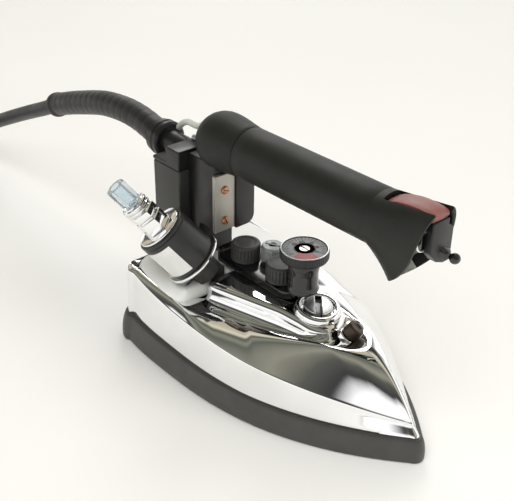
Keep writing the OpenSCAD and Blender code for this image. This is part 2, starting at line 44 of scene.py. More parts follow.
# ---------------------------------------------------------------- camera
EYE = (0.3110, -0.3079, 0.3414)
LENS = 63.04
az, el, roll = math.radians(48.0), math.radians(30.4), math.radians(1.0)
look = Vector((-math.sin(az) * math.cos(el), math.cos(az) * math.cos(el), -math.sin(el)))
side = look.cross(Vector((0, 0, 1))).normalized()
top = side.cross(look)
cam_x = math.cos(roll) * side + math.sin(roll) * top
cam_y = -math.sin(roll) * side + math.cos(roll) * top
camera = bpy.data.objects.new("camera", bpy.data.cameras.new("camera"))
scene.collection.objects.link(camera)
scene.camera = camera
camera.data.sensor_width = 36.0
camera.data.lens = LENS
camera.data.clip_start = 0.01
camera.data.clip_end = 50.0
camera.matrix_world = Matrix((
    (cam_x.x, cam_y.x, -look.x, EYE[0]),
    (cam_x.y, cam_y.y, -look.y, EYE[1]),
    (cam_x.z, cam_y.z, -look.z, EYE[2]),
    (0, 0, 0, 1)))


# ---------------------------------------------------------------- materials
def material(name, base, rough=0.5, metal=0.0, vary=0.08, scale=70.0, rough_vary=0.08,
             grain=1800.0, bump=0.08, wave=0.0, wave_scale=25.0, coat=0.0, specular=0.5,
             sheen=0.0):
    """A principled material whose colour, roughness and bump come from noise."""
    m = bpy.data.materials.new(name)
    m.use_nodes = True
    t = m.node_tree
    b = t.nodes["Principled BSDF"]
    b.inputs["Metallic"].default_value = metal
    b.inputs["Specular IOR Level"].default_value = specular
    b.inputs["Coat Weight"].default_value = coat
    b.inputs["Coat Roughness"].default_value = 0.12
    b.inputs["Sheen Weight"].default_value = sheen
    co = t.nodes.new("ShaderNodeTexCoord")

    def noise_node(s, detail=4.0, roughness=0.55):
        n = t.nodes.new("ShaderNodeTexNoise")
        n.inputs["Scale"].default_value = s
        n.inputs["Detail"].default_value = detail
        n.inputs["Roughness"].default_value = roughness
        t.links.new(co.outputs["Object"], n.inputs["Vector"])
        return n

    spots = noise_node(scale)
    ramp = t.nodes.new("ShaderNodeValToRGB")
    ramp.color_ramp.elements[0].position = 0.3
    ramp.color_ramp.elements[1].position = 0.7
    ramp.color_ramp.elements[0].color = [max(0, c * (1 - vary)) for c in base] + [1]
    ramp.color_ramp.elements[1].color = [min(1, c * (1 + vary)) for c in base] + [1]
    t.links.new(spots.outputs["Fac"], ramp.inputs["Fac"])
    t.links.new(ramp.outputs["Color"], b.inputs["Base Color"])
    smear = noise_node(scale * 0.45, 5.0, 0.6)
    span = t.nodes.new("ShaderNodeMapRange")
    span.inputs["From Min"].default_value = 0.3
    span.inputs["From Max"].default_value = 0.7
    span.inputs["To Min"].default_value = max(0.02, rough - rough_vary)
    span.inputs["To Max"].default_value = min(1.0, rough + rough_vary)
    t.links.new(smear.outputs["Fac"], span.inputs["Value"])
    t.links.new(span.outputs["Result"], b.inputs["Roughness"])
    fine = noise_node(grain, 3.0, 0.6)
    bp = t.nodes.new("ShaderNodeBump")
    bp.inputs["Strength"].default_value = bump
    bp.inputs["Distance"].default_value = 0.0004
    t.links.new(fine.outputs["Fac"], bp.inputs["Height"])
    if wave:
        slow = noise_node(wave_scale, 2.0, 0.4)
        bw = t.nodes.new("ShaderNodeBump")
        bw.inputs["Strength"].default_value = wave
        bw.inputs["Distance"].default_value = 0.002
        t.links.new(slow.outputs["Fac"], bw.inputs["Height"])
        t.links.new(bw.outputs["Normal"], bp.inputs["Normal"])
    t.links.new(bp.outputs["Normal"], b.inputs["Normal"])
    return m


chrome = material("chrome_polished", (0.90, 0.905, 0.91), 0.05, 1.0, 0.03, 40, 0.03, 900, 0.012,
                  wave=0.05, wave_scale=22)
satin = material("chrome_satin", (0.84, 0.86, 0.87), 0.38, 1.0, 0.05, 60, 0.06, 1500, 0.03)
deck_mat = material("deck_pale_satin", (0.90, 0.915, 0.90), 0.5, 0.25, 0.04, 60, 0.06, 1500,
                    0.03)
steel = material("steel_plain", (0.56, 0.57, 0.58), 0.33, 1.0, 0.08, 120, 0.1, 1600, 0.05)
cast_alu = material("aluminium_cast", (0.66, 0.67, 0.68), 0.48, 1.0, 0.1, 160, 0.1, 900, 0.25)
shoe_mat = material("shoe_dark_grey", (0.066, 0.066, 0.064), 0.46, 0.25, 0.10, 90, 0.08, 1400,
                    0.10)
ptfe = material("ptfe_sheet", (0.13, 0.12, 0.11), 0.62, 0.0, 0.12, 200, 0.08, 2200, 0.2)
board = material("mineral_board", (0.72, 0.69, 0.61), 0.9, 0.0, 0.15, 300, 0.05, 800, 0.6)
# black enamel for the black parts; the same black also serves as painted shade, colouring the screw
# slots and the recessed seat under the drain screw
enamel_and_shade = material("enamel_black_and_painted_shade", (0.008, 0.008, 0.009), 0.16, 0.0, 0.3, 80, 0.06, 1200, 0.03,
                  coat=0.4)
can_mat = material("can_black", (0.020, 0.020, 0.021), 0.36, 0.0, 0.25, 90, 0.08, 1500, 0.06)
bakelite = material("bakelite_black", (0.035, 0.035, 0.034), 0.5, 0.0, 0.3, 200, 0.1, 1800, 0.15)
cast_grey = material("cast_grey_knob", (0.33, 0.35, 0.35), 0.5, 0.7, 0.25, 500, 0.12, 900, 0.6)
dark_brass = material("brass_oxidised", (0.05, 0.035, 0.025), 0.3, 0.6, 0.4, 150, 0.12, 900, 0.15)
plastic = material("plastic_black", (0.008, 0.008, 0.009), 0.36, 0.0, 0.25, 90, 0.08, 1500, 0.08)
grip_mat = material("grip_black", (0.012, 0.013, 0.011), 0.52, 0.0, 0.18, 60, 0.07, 1300, 0.16,
                    specular=0.36)
box_mat = material("box_charcoal", (0.035, 0.036, 0.034), 0.4, 0.2, 0.14, 70, 0.08, 1300, 0.12)
plate_mat = material("plate_dull", (0.42, 0.40, 0.36), 0.4, 0.7, 0.12, 40, 0.1, 900, 0.05)
lid_grey = material("sleeve_pale", (0.60, 0.60, 0.56), 0.5, 0.0, 0.1, 140, 0.08, 1300, 0.12)
liner = material("liner_bare_sheet", (0.74, 0.74, 0.68), 0.42, 0.35, 0.08, 90, 0.1, 1100, 0.08)
red = material("button_red", (0.23, 0.085, 0.075), 0.42, 0.0, 0.14, 120, 0.08, 1500, 0.1)
ceramic = material("steatite", (0.80, 0.77, 0.69), 0.6, 0.0, 0.06, 200, 0.08, 1200, 0.2)
copper = material("copper_wire", (0.55, 0.25, 0.12), 0.35, 0.9, 0.15, 200, 0.1, 2500, 0.3)
brass = material("brass_plain", (0.72, 0.56, 0.32), 0.28, 1.0, 0.1, 150, 0.1, 1500, 0.05)
nickel = material("nickel_warm", (0.78, 0.72, 0.62), 0.3, 1.0, 0.08, 150, 0.08, 1500, 0.04)
silver_print = material("dial_silver", (0.17, 0.175, 0.175), 0.42, 0.1, 0.1, 120, 0.08, 1500, 0.05)
dial_red = material("dial_red", (0.30, 0.045, 0.04), 0.42, 0.0, 0.15, 200, 0.08, 1500, 0.05)
dial_ink = material("dial_ink", (0.03, 0.03, 0.03), 0.5, 0.0, 0.2, 200, 0.08, 1500, 0.05)
paper = material("label_paper", (0.80, 0.80, 0.78), 0.55, 0.0, 0.06, 90, 0.1, 1800, 0.06)
rubber = material("rubber_black", (0.010, 0.010, 0.010), 0.5, 0.0, 0.25, 130, 0.1, 1500, 0.2,
                  sheen=0.1)
cord_mat = material("cord_sheath", (0.012, 0.012, 0.012), 0.5, 0.0, 0.2, 160, 0.1, 1700, 0.15,
                    sheen=0.08)
hose_mat = material("hose_clear", (0.80, 0.88, 0.93), 0.12, 0.0, 0.04, 80, 0.06, 900, 0.04)
hose_shader = hose_mat.node_tree.nodes["Principled BSDF"]
hose_shader.inputs["Transmission Weight"].default_value = 0.85
hose_shader.inputs["IOR"].default_value = 1.36


# ---------------------------------------------------------------- mesh helpers
def piece(name, verts, faces, mats, body="iron", slot=None, stands=(), angle=38.0, place=None,
          bevel=0.0, face_mats=None, segments=3):
    """A mesh piece in the row frame, riding on its body."""
    me = bpy.data.meshes.new(name)
    me.from_pydata([tuple(c * MM for c in v) for v in verts], [], faces)
    mats = mats if isinstance(mats, (list, tuple)) else [mats]
    for m in mats:
        me.materials.append(m)
    if face_mats:
        me.polygons.foreach_set("material_index", face_mats)
    if place is not None:
        me.transform(place)
    bm = bmesh.new()
    bm.from_mesh(me)
    bmesh.ops.remove_doubles(bm, verts=bm.verts, dist=2e-6)
    bmesh.ops.recalc_face_normals(bm, faces=bm.faces)
    bm.to_mesh(me)
    bm.free()
    o = bpy.data.objects.new(name, me)
    scene.collection.objects.link(o)
    if bevel:
        mod = o.modifiers.new("bevel", "BEVEL")
        mod.width = bevel * MM
        mod.segments = segments
        mod.limit_method = "ANGLE"
        mod.angle_limit = math.radians(30)
        apply(o)
    smooth(o, angle)
    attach(o, body)
    if stands:
        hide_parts(*([stands] if isinstance(stands, str) else stands))
    return o


def apply(o):
    """Bakes an object's modifiers into its mesh."""
    graph = bpy.context.evaluated_depsgraph_get()
    me = bpy.data.meshes.new_from_object(o.evaluated_get(graph))
    o.modifiers.clear()
    o.data = me


def smooth(o, angle):
    o.data.polygons.foreach_set("use_smooth", [True] * len(o.data.polygons))
    o.data.set_sharp_from_angle(angle=math.radians(angle))


def carve(o, verts, faces, angle):
    """Cuts a closed shape, given in millimetres, out of a piece."""
    me = bpy.data.meshes.new("cutter")
    me.from_pydata([tuple(c * MM for c in p) for p in verts], [], faces)
    bm = bmesh.new()
    bm.from_mesh(me)
    bmesh.ops.recalc_face_normals(bm, faces=bm.faces)
    bm.to_mesh(me)
    bm.free()
    cutter = bpy.data.objects.new("cutter", me)
    scene.collection.objects.link(cutter)
    cut = o.modifiers.new("cut", "BOOLEAN")
    cut.object = cutter
    cut.operation = "DIFFERENCE"
    cut.solver = "EXACT"
    apply(o)
    smooth(o, angle)
    bpy.data.objects.remove(cutter)


def grid_faces(rows, cols, wrap_rows=False):
    out = []
    for j in range(rows if wrap_rows else rows - 1):
        k = (j + 1) % rows
        for i in range(cols):
            n = (i + 1) % cols
            out.append((j * cols + i, j * cols + n, k * cols + n, k * cols + i))
    return out


def lofted(rings, wrap=False, caps=True):
    """Rings of equal count, joined in order; flat fans close the ends unless they wrap."""
    n = len(rings[0])
    verts = [tuple(p) for r in rings for p in r]
    faces = grid_faces(len(rings), n, wrap_rows=wrap)
    if caps and not wrap:
        for r, flip in ((0, True), (len(rings) - 1, False)):
            ids = [r * n + i for i in range(n)]
            c = len(verts)
            verts.append(tuple(sum(verts[i][a] for i in ids) / n for a in range(3)))
            for i in range(n):
                a, b = ids[i], ids[(i + 1) % n]
                faces.append((b, a, c) if flip else (a, b, c))
    return verts, faces


def arc(cx, cy, r, start, stop, step):
    """Points on a round stretch, by whole degrees."""
    return [(cx + r * math.cos(math.radians(a)), cy + r * math.sin(math.radians(a)))
            for a in range(start, stop, step)]


def lathe(profile, count=64, wobble=None):
    """Revolves (r, z) points about Z. A profile that starts or ends off the axis is open there."""
    rings = []
    for r, z in profile:
        ring = []
        for i in range(count):
            a = 2 * math.pi * i / count
            rr = max(r, 0.0005) if wobble is None else max(r + wobble(a, r, z), 0.0005)
            ring.append((rr * math.cos(a), rr * math.sin(a), z))
        rings.append(ring)
    verts = [p for r in rings for p in r]
    return verts, grid_faces(len(rings), count)


def rounded(profile, radius=0.5, steps=3, closed=False):
    """Rounds the corners of a polyline of (r, z) points."""
    out, n = [], len(profile)
    for i, p in enumerate(profile):
        if not closed and i in (0, n - 1):
            out.append(tuple(p))
            continue
        a, b, c = (Vector(profile[(i + d) % n]) for d in (-1, 0, 1))
        u, v = a - b, c - b
        cut = min(radius, u.length * 0.45, v.length * 0.45)
        if u.length < 1e-6 or v.length < 1e-6 or cut < 0.02:
            out.append(tuple(p))
            continue
        p0, p1 = b + u.normalized() * cut, b + v.normalized() * cut
        for s in range(steps + 1):
            t = s / steps
            out.append(tuple((1 - t) ** 2 * p0 + 2 * t * (1 - t) * b + t * t * p1))
    return out


def at(x, y, z, axis=(0, 0, 1), spin=0.0):
    """A matrix in metres that puts local Z along axis at a point given in millimetres."""
    q = Vector((0, 0, 1)).rotation_difference(Vector(axis).normalized())
    return (Matrix.Translation(Vector((x, y, z)) * MM) @ q.to_matrix().to_4x4()
            @ Matrix.Rotation(spin, 4, "Z"))


def box_mesh(x0, x1, y0, y1, z0, z1):
    v = [(x, y, z) for z in (z0, z1) for y in (y0, y1) for x in (x0, x1)]
    f = [(0, 2, 3, 1), (4, 5, 7, 6), (0, 1, 5, 4), (2, 6, 7, 3), (0, 4, 6, 2), (1, 3, 7, 5)]
    return v, f


def prism(poly, a0, a1, axis="y"):
    """Extrudes a 2-D polygon along an axis: (x, z) along y, (y, z) along x, (x, y) along z."""
    n = len(poly)
    lay = {"y": lambda p, a: (p[0], a, p[1]), "x": lambda p, a: (a, p[0], p[1]),
           "z": lambda p, a: (p[0], p[1], a)}[axis]
    v = [lay(p, a0) for p in poly] + [lay(p, a1) for p in poly]
    f = [tuple(range(n)), tuple(range(2 * n - 1, n - 1, -1))]
    f += [(i, (i + 1) % n, n + (i + 1) % n, n + i) for i in range(n)]
    return v, f


def merge(*meshes):
    """Joins (verts, faces) pairs; returns verts, faces and the index of each face's source."""
    verts, faces, owner = [], [], []
    for k, (v, f) in enumerate(meshes):
        base = len(verts)
        verts += list(v)
        faces += [tuple(base + i for i in q) for q in f]
        owner += [k] * len(f)
    return verts, faces, owner


def moved(mesh, matrix_mm):
    """A (verts, faces) pair placed by a matrix in millimetres."""
    v, f = mesh
    return [tuple(matrix_mm @ Vector(p)) for p in v], f


def at_mm(x, y, z, axis=(0, 0, 1), spin=0.0):
    m = at(x, y, z, axis, spin)
    m.translation = Vector((x, y, z))
    return m


def turned(profile, name, mats, place, body="iron", slot=None, stands=(), count=72, radius=0.5,
           angle=38.0, wobble=None, closed=False):
    prof = rounded(profile, radius, 3, closed)
    if closed:
        prof = prof + [prof[0]]
    v, f = lathe(prof, count, wobble)
    return piece(name, v, f, mats, body, slot, stands, angle, place=place)


# ---------------------------------------------------------------- cord
ROUTE = [
    (-126, 0, 115), (-134, 0, 117), (-146, 0, 119.2), (-160, 0, 119.9), (-174, 0, 118.9),
    (-188, 0, 116.8), (-202, 0, 113.2), (-216, 0, 109), (-230, 0, 104.6), (-250, 0, 97.6),
    (-264, 0, 91.4), (-280, 0, 84.4), (-298, 0, 76.8), (-316, 0, 69), (-334, 0, 61),
    (-352, 0, 52.8), (-368, 0, 45.2), (-384, 0, 37.6), (-398, 0, 31.2), (-412, 0, 25.6),
    (-426, 0, 21), (-440, 0, 18.2)]
CORD_R = 5.5
COIL_R = 56.0
COIL = (-470.0, -COIL_R - CORD_R)


def ease(t):
    t = min(1.0, max(0.0, t))
    return t * t * (3 - 2 * t)


def coil_radius(t):
    """Two turns above, from the outside in, then three below, from the inside out."""
    d = 2 * CORD_R
    return (COIL_R + CORD_R - d * ease((t - 0.85) / 0.3) - CORD_R * ease((t - 1.85) / 0.3)
            + d * ease((t - 2.85) / 0.3) + d * ease((t - 3.85) / 0.3))


def coil_height(t):
    return 16.7 - 11.05 * ease((t - 1.8) / 0.4)


cord_pts = [Vector(p) for p in ROUTE[9:]]
cord_pts.append(Vector((-455, 0, 17.2)))
steps = 36
for i in range(5 * steps + 1):
    t = i / steps
    a = math.pi / 2 + 2 * math.pi * t
    r = coil_radius(t)
    cord_pts.append(Vector((COIL[0] + r * math.cos(a), COIL[1] + r * math.sin(a),
                            coil_height(t))))
OUTER = COIL_R + 2 * CORD_R
# the last turn ends at the top again, so it runs on to the bottom and leaves along +X
for i in range(1, steps // 2 + 1):
    a = math.pi / 2 + 2 * math.pi * i / steps
    cord_pts.append(Vector((COIL[0] + OUTER * math.cos(a), COIL[1] + OUTER * math.sin(a), 5.65)))
for x, z in ((-462, 5.7), (-454, 6.1), (-446, 7.2), (-438, 8.8), (-430, 10.0), (-424, 10.2)):
    cord_pts.append(Vector((x, COIL[1] - OUTER, z)))
curve = bpy.data.curves.new("cord", "CURVE")
curve.dimensions = "3D"
curve.bevel_depth = CORD_R * MM
curve.bevel_resolution = 6
curve.use_fill_caps = True
line = curve.splines.new("POLY")
line.points.add(len(cord_pts) - 1)
for q, p in zip(line.points, cord_pts):
    q.co = (p.x * MM, p.y * MM, p.z * MM, 1)
line.use_smooth = True
curve.materials.append(cord_mat)
cord = bpy.data.objects.new("cord", curve)
scene.collection.objects.link(cord)
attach(cord, "iron")
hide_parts("cord_tube", "cord_coil")
cord_length = sum((b - a).length for a, b in zip(cord_pts, cord_pts[1:])) * MM

# mains plug: a moulded two-pin plug with a ribbed tail
PLUG = (COIL[0] + 44, COIL[1] - OUTER, 10.2)
tail = []
for i in range(33):
    x = i * 0.5
    tail.append((6.6 + x * 0.15 - (0.9 if i % 6 in (3, 4) and i < 28 else 0), x))
plug_boot = lathe([(0, 0)] + tail + [(0, 16.2)], 40)
body_rings = []
for x, hy, hz, r in ((15.5, 8.5, 8.0, 4), (17, 11, 9.4, 4.5), (22, 12.8, 10, 5), (34, 13, 10, 5),
                     (42, 12.4, 9.8, 4.5), (45.4, 11.8, 9.3, 4), (46, 10.8, 8.4, 3.5)):
    ring = []
    for q in range(4):
        cy, cz = (hy - r) * (1, -1, -1, 1)[q], (hz - r) * (1, 1, -1, -1)[q]
        ring += [(x, y, z) for y, z in arc(cy, cz, r, q * 90, q * 90 + 91, 18)]
    body_rings.append(ring)
pv, pf, po = merge(moved(plug_boot, at_mm(0, 0, 0, (1, 0, 0))), lofted(body_rings))
plug = piece("plug_body", pv, pf, rubber, slot="rubber_black", stands="mains_plug", angle=40,
             place=Matrix.Translation(Vector(PLUG) * MM))
pins = []
for s in (-1, 1):
    pins.append(box_mesh(46, 61, s * 6.35 - 0.8, s * 6.35 + 0.8, -3.2, 3.2))
    pins.append(box_mesh(61, 63, s * 6.35 - 0.5, s * 6.35 + 0.5, -2.6, 2.6))
pv, pf, po = merge(*pins)
prongs = piece("plug_prongs", pv, pf, brass, slot="brass", stands="plug_pins", bevel=0.25,
               place=Matrix.Translation(Vector(PLUG) * MM))
tie_x = COIL[0] - COIL_R
tie_rings = []
for grow in (0.0, 1.1):
    loop = []
    for q in range(4):
        hx, hz, r = 16.9 + grow, 11.15 + grow, 5.2 + grow
        cx, cz = (hx - r) * (1, -1, -1, 1)[q], (hz - r) * (1, 1, -1, -1)[q]
        loop += arc(cx, cz, r, q * 90, q * 90 + 91, 15)
    tie_rings.append(loop)
order = [(tie_rings[0], -3.5), (tie_rings[1], -3.5), (tie_rings[1], 3.5), (tie_rings[0], 3.5)]
tv, tf = lofted([[(x, y, z) for x, z in loop] for loop, y in order], wrap=True)
tie = piece("cord_tie", tv, tf, plastic, slot="tie_black", stands="coil_tie", angle=50,
            place=Matrix.Translation(Vector((tie_x, COIL[1], 12.3)) * MM))

# ---------------------------------------------------------------- outline of the sole
HW = 58.2


def half_w(x):
    if x > -48:
        return HW * (1 - ((x + 48) / 154.5) ** 2.5)
    return HW * (1 - ((-48 - x) / 119) ** 3.05)


def back(x):
    return min(1, max(0, (104 - x) / 208))


def shoe_top(x):
    return 14.2 + 4 * back(x)


def lean(x):
    return 0.65 + 0.35 * back(x)


def front(x):
    """Towards the tip the cover is tucked in and its crease runs lower."""
    return (max(0, x - 10) / 94) ** 1.3


def crease(x):
    if x > -48:
        return 43.5 - 0.0652 * (x + 48) - 0.000395 * (x + 48) ** 2 - 3 * front(x)
    return 43.5 + 0.132 * (-48 - x)


def mirrored(h):
    return list(h) + [(x, -y) for x, y in reversed(h[1:-1])]


half = arc(98, 0, 6, 0, 49, 4)
x = 100.0
while x > -88.5:
    half.append((x, half_w(x)))
    x -= 2.4 if x < 80 else 1.7
half += arc(-90, 43.3, 14, 96, 181, 7)
half += [(-104, y) for y in (37, 30, 22, 14, 6, 0)]
BASE = mirrored(half)


def normals(line, reach=2):
    out, n = [], len(line)
    for i in range(n):
        a, b = line[(i - reach) % n], line[(i + reach) % n]
        d = math.hypot(b[0] - a[0], b[1] - a[1])
        out.append((-(b[1] - a[1]) / d, (b[0] - a[0]) / d))
    return out


BASE_N = normals(BASE)


def ring(d, height):
    """The outline set in by d (less near the tip) at a height that may vary along the iron."""
    out = []
    for (x, y), (nx, ny) in zip(BASE, BASE_N):
        e = d * lean(x)
        out.append((x + e * nx, y + e * ny, height(x) if callable(height) else height))
    return out


def tucked(points, e):
    return [(x - 5 * e * front(x), y * (1 - 0.2 * e * front(x)), z) for x, y, z in points]


# the shoe: a dark slip-on frame with a softly rolled lip
shoe_rings = [ring(3.1, 0.3), ring(1.8, 0.05), ring(1.0, 0.15), ring(0.35, 0.55), ring(0, 1.3)]
for f, d in ((0.2, 0.05), (0.38, 0.2), (0.55, 0.6), (0.7, 1.2), (0.82, 1.85)):
    shoe_rings.append(ring(d, lambda x, f=f: 1.3 + (shoe_top(x) - 1.3) * f))
shoe_rings += [ring(2.45, lambda x: shoe_top(x) - 1.3), ring(3.0, lambda x: shoe_top(x) - 0.55),
               ring(3.7, lambda x: shoe_top(x) - 0.1), ring(4.4, shoe_top),
               ring(7.2, lambda x: shoe_top(x) - 0.05), ring(8.8, lambda x: shoe_top(x) - 1),
               ring(8.8, 2.3), ring(3.2, 2.3)]
v, f = lofted(shoe_rings, wrap=True)
piece("shoe", v, f, shoe_mat, slot="shoe_grey", stands="shoe_rim", angle=50)


def dome_target(i):
    """Where a point of the outline ends up on the platform's foot."""
    x, y = BASE[i]
    if x > 90:
        run = sum(math.dist(BASE[k], BASE[k + 1]) for k in range(min(i, len(BASE) - i)))
        phi = math.radians(64.8 * min(1.0, run / ARC90))
        px, py = 22 + 15.5 * math.cos(phi), 15.5 * math.sin(phi)
    else:
        px = -95 + (x + 104) * 132.5 / 208
        py = plat_w(px) * min(1, abs(y) / max(0.1, half_w(x)))
    return px, math.copysign(py, y) if y else 0.0, 46 + 0.08 * max(0, -34 - px)


def plat_w(x):
    if x > 22:
        return math.sqrt(max(0, 15.5 ** 2 - (x - 22) ** 2))
    if x > 10:
        return 18 - (x - 10) * 0.2083
    if x > -40:
        return 18 + (10 - x) * 0.27
    return min(45, 31.5 + (-40 - x) * 1.6)


ARC90 = 0.0
for k in range(len(BASE)):
    if BASE[k][0] <= 90:
        break
    ARC90 += math.dist(BASE[k], BASE[k + 1])
TARGET = [dome_target(i) for i in range(len(BASE))]


def dome(t, d=6.6, drop=0.0):
    out = []
    rise = 1 - (1 - min(1, t / 0.65)) ** 1.8
    for i, (x, y, z) in enumerate(tucked(ring(d, crease), 1)):
        bx, by, bz = TARGET[i]
        swell = 5.5 * min(1, max(0, (BASE[i][0] - 20) / 60))
        out.append((x + (bx - x) * t, y + (by - y) * t,
                    z + (bz - z) * rise + swell * 4 * t * (1 - t) - drop))
    return out


cover = [tucked(ring(6.0, lambda x: shoe_top(x) + 0.15), 0.3),
         tucked(ring(4.6, lambda x: shoe_top(x) + 0.1), 0.3),
         tucked(ring(4.35, lambda x: shoe_top(x) + 0.5), 0.3)]
for k in range(1, 8):
    f = k / 8
    d = 4.4 + 1.4 * f
    cover.append(tucked(ring(d, lambda x, f=f: shoe_top(x) + 0.8
                             + (crease(x) - 1.9 - shoe_top(x) - 0.8) * f), 0.3 + 0.65 * f))
cover += [tucked(ring(5.85, lambda x: crease(x) - 1.5), 0.96),
          tucked(ring(5.95, lambda x: crease(x) - 0.85), 0.98),
          tucked(ring(6.2, lambda x: crease(x) - 0.35), 1)]
for k in range(0, 31):
    cover.append(dome((k / 30) ** 1.25))
cover += [dome(1, 6.6, 1.6), dome(0.75, 8.2, 1.7), dome(0.4, 8.4, 1.8), dome(0.12, 8.6, 2)]
cover += [tucked(ring(7.8, lambda x: crease(x) - 3), 0.9),
          tucked(ring(6.8, lambda x: (crease(x) + shoe_top(x)) / 2), 0.6)]
v, f = lofted(cover, wrap=True)
piece("cover_shell", v, f, chrome, slot="chrome", stands="base_cover", angle=42)

# satin deck over the heel, with a soft shoulder and a notch towards the platform
deck_half = [(-44, 0), (-44, 7), (-44, 14), (-44, 22), (-44, 30), (-44, 36), (-44, 40)]
deck_half += arc(-51, 41.5, 7, 8, 91, 12)
deck_half += [(-56, 48.8), (-60, 48.8), (-66, 48.8), (-72, 48.7), (-78, 48.3)]
deck_half += arc(-84, 35.6, 12, 96, 181, 12)
deck_half += [(-96, 28), (-96, 20), (-96, 10), (-96, 0)]
DECK = mirrored(deck_half)
DECK_N = normals(DECK, 1)


def deck_ring(d, z):
    return [(x + 0.35 * d * nx, y + d * ny, z) for (x, y), (nx, ny) in zip(DECK, DECK_N)]


deck = [deck_ring(14, 52.2), deck_ring(9, 51.2), deck_ring(3.4, 48), deck_ring(1.7, 45.6),
        deck_ring(0.4, 45.55), deck_ring(0.0, 46.1)]
for k in range(1, 15):
    a = math.radians(6 * k)
    deck.append(deck_ring(11.5 * (1 - math.cos(a)) ** 0.9, 46.2 + 7.6 * math.sin(a)))
deck.append(deck_ring(14, 54))
v, f = lofted(deck)
piece("heel_deck", v, f, deck_mat, slot="satin_chrome", stands="rear_deck", angle=35)

# raised platform under the controls
plat_half = arc(22, 0, 15.5, 0, 82, 6)
x = 21.0
while x > -35:
    plat_half.append((x, plat_w(x)))
    x -= 3.4
plat_half += arc(-37.3, 24, 6.5, 78, 181, 8)
plat_half += [(-43.8, 16), (-43.8, 8), (-43.8, 0)]
PLAT = mirrored(plat_half)
PLAT_N = normals(PLAT, 1)


def plat_ring(d, drop=None, foot=None):
    out = []
    for (x, y), (nx, ny) in zip(PLAT, PLAT_N):
        if d < 0:
            d_here = d * min(1, max(0, (x + 43.8) / 6))
        else:
            d_here = d
        qx, qy = x + d_here * nx, y + d_here * ny
        z = foot if foot is not None else 57 - max(0, qx - 8) * 0.12 - drop
        out.append((qx, qy, z))
    return out


rings = [plat_ring(2.2, 3.4), plat_ring(1.7, foot=44), plat_ring(0, foot=44),
         plat_ring(-3.6, foot=45.4), plat_ring(-3.4, foot=45.9), plat_ring(-2.4, foot=46.3),
         plat_ring(-1.5, foot=47.0), plat_ring(-0.8, foot=48.0), plat_ring(-0.3, foot=49.2),
         plat_ring(0.1, foot=50.4)]
for k in range(0, 10):
    a = math.radians(k * 10)
    rings.append(plat_ring(0.15 + 4.4 * (1 - math.cos(a)), 4.2 * (1 - math.sin(a))))
v, f = lofted(rings)
piece("platform", v, f, chrome, slot="chrome", stands="cover_platform", angle=40)

# sole sheet with its steam holes, each with a small countersink
STEAM = [(78, 0), (62, 10), (62, -10), (42, 34), (42, -34), (24, 39), (24, -39), (4, 43), (4, -43),
         (-18, 45), (-18, -45)]
sheet = [(x + 3.2 * nx, y + 3.2 * ny) for (x, y), (nx, ny) in zip(BASE, BASE_N)]
v, f = prism(sheet, 0.02, 2.0, "z")
sole = piece("sole_face_sheet", v, f, ptfe, slot="ptfe", stands="sole_sheet", angle=30)
COUNTERSINK = ((3.1, -0.3), (2.1, 0.75), (2.0, 2.6))
drill = lofted([[(x, y, z) for x, y in arc(0, 0, r, 0, 360, 15)] for r, z in COUNTERSINK])
v, f, o = merge(*[moved(drill, at_mm(x, y, 0)) for x, y in STEAM])
carve(sole, v, f, 30)

# ---------------------------------------------------------------- parts on the platform
foot_side = [(-56, 57), (-3, 57), (-3, 62), (-50.2, 62), (-51.4, 62.9), (-52.2, 64.4), (-56, 66.5)]
foot = prism(foot_side, -9.5, 9.5, "y")
disc = lathe(rounded([(0, 57), (9.5, 57), (9.5, 62), (0, 62)], 0.6), 64)
v, f, o = merge(foot, moved(disc, at_mm(-3, 0, 0)))
piece("bracket", v, f, enamel_and_shade, slot="black_enamel", stands="bracket_foot", bevel=0.5, angle=35)


def flutes(count, depth, z0, z1, r0):
    """Scalloped grips round a knob: a wobble for lathe()."""
    def wobble(a, r, z):
        if r < r0 or z < z0 or z > z1:
            return 0.0
        return -depth * max(0.0, math.cos(a * count)) ** 3
    return wobble


CAP = [(3.0, 62.0), (8.4, 62.0), (9.0, 62.5), (9.0, 63.4), (9.0, 63.9), (9.0, 66), (9.0, 69),
       (9.0, 71.0), (9.0, 71.5), (8.9, 72.1), (8.5, 72.7), (7.9, 72.95), (6.6, 73.0), (6.2, 72.75),
       (5.2, 72.7), (0, 72.75)]
for label, cx in (("front", -10), ("rear", -41)):
    v, f = lathe(CAP, 144, flutes(24, 0.55, 63.6, 71.2, 8.9))
    piece("cap_nut_" + label + "_skin", v, f, bakelite, slot="bakelite",
          stands="cap_nut_" + label, angle=50, place=at(cx, 0, 0))

v, f = lathe(rounded([(0, 57), (4, 57), (4, 64), (6.6, 64.2), (7, 65), (7, 72.6), (6.2, 73.8),
                      (2.4, 74), (2.2, 72.9), (0, 72.8)], 0.4), 96,
             lambda a, r, z: -0.35 * max(0, math.cos(a * 20)) if r > 6.5 and 64.8 < z < 72.8 else 0)
# the knob's slot is a raised black bar: painted shade standing in for the shadowed slot in the cast
# grey screw
slot_shade_bar = box_mesh(-4.6, 4.6, -0.7, 0.7, 73.2, 74.25)
piece("adjuster_knob", v, f, cast_grey, slot="cast_grey", stands="steam_adjust_screw", angle=45,
      place=at(-27, 9, 0))
piece("adjuster_slot_shade", *slot_shade_bar, enamel_and_shade, slot="cast_grey", angle=30, bevel=0.15,
      place=at(-27, 9, 0, spin=0.5))

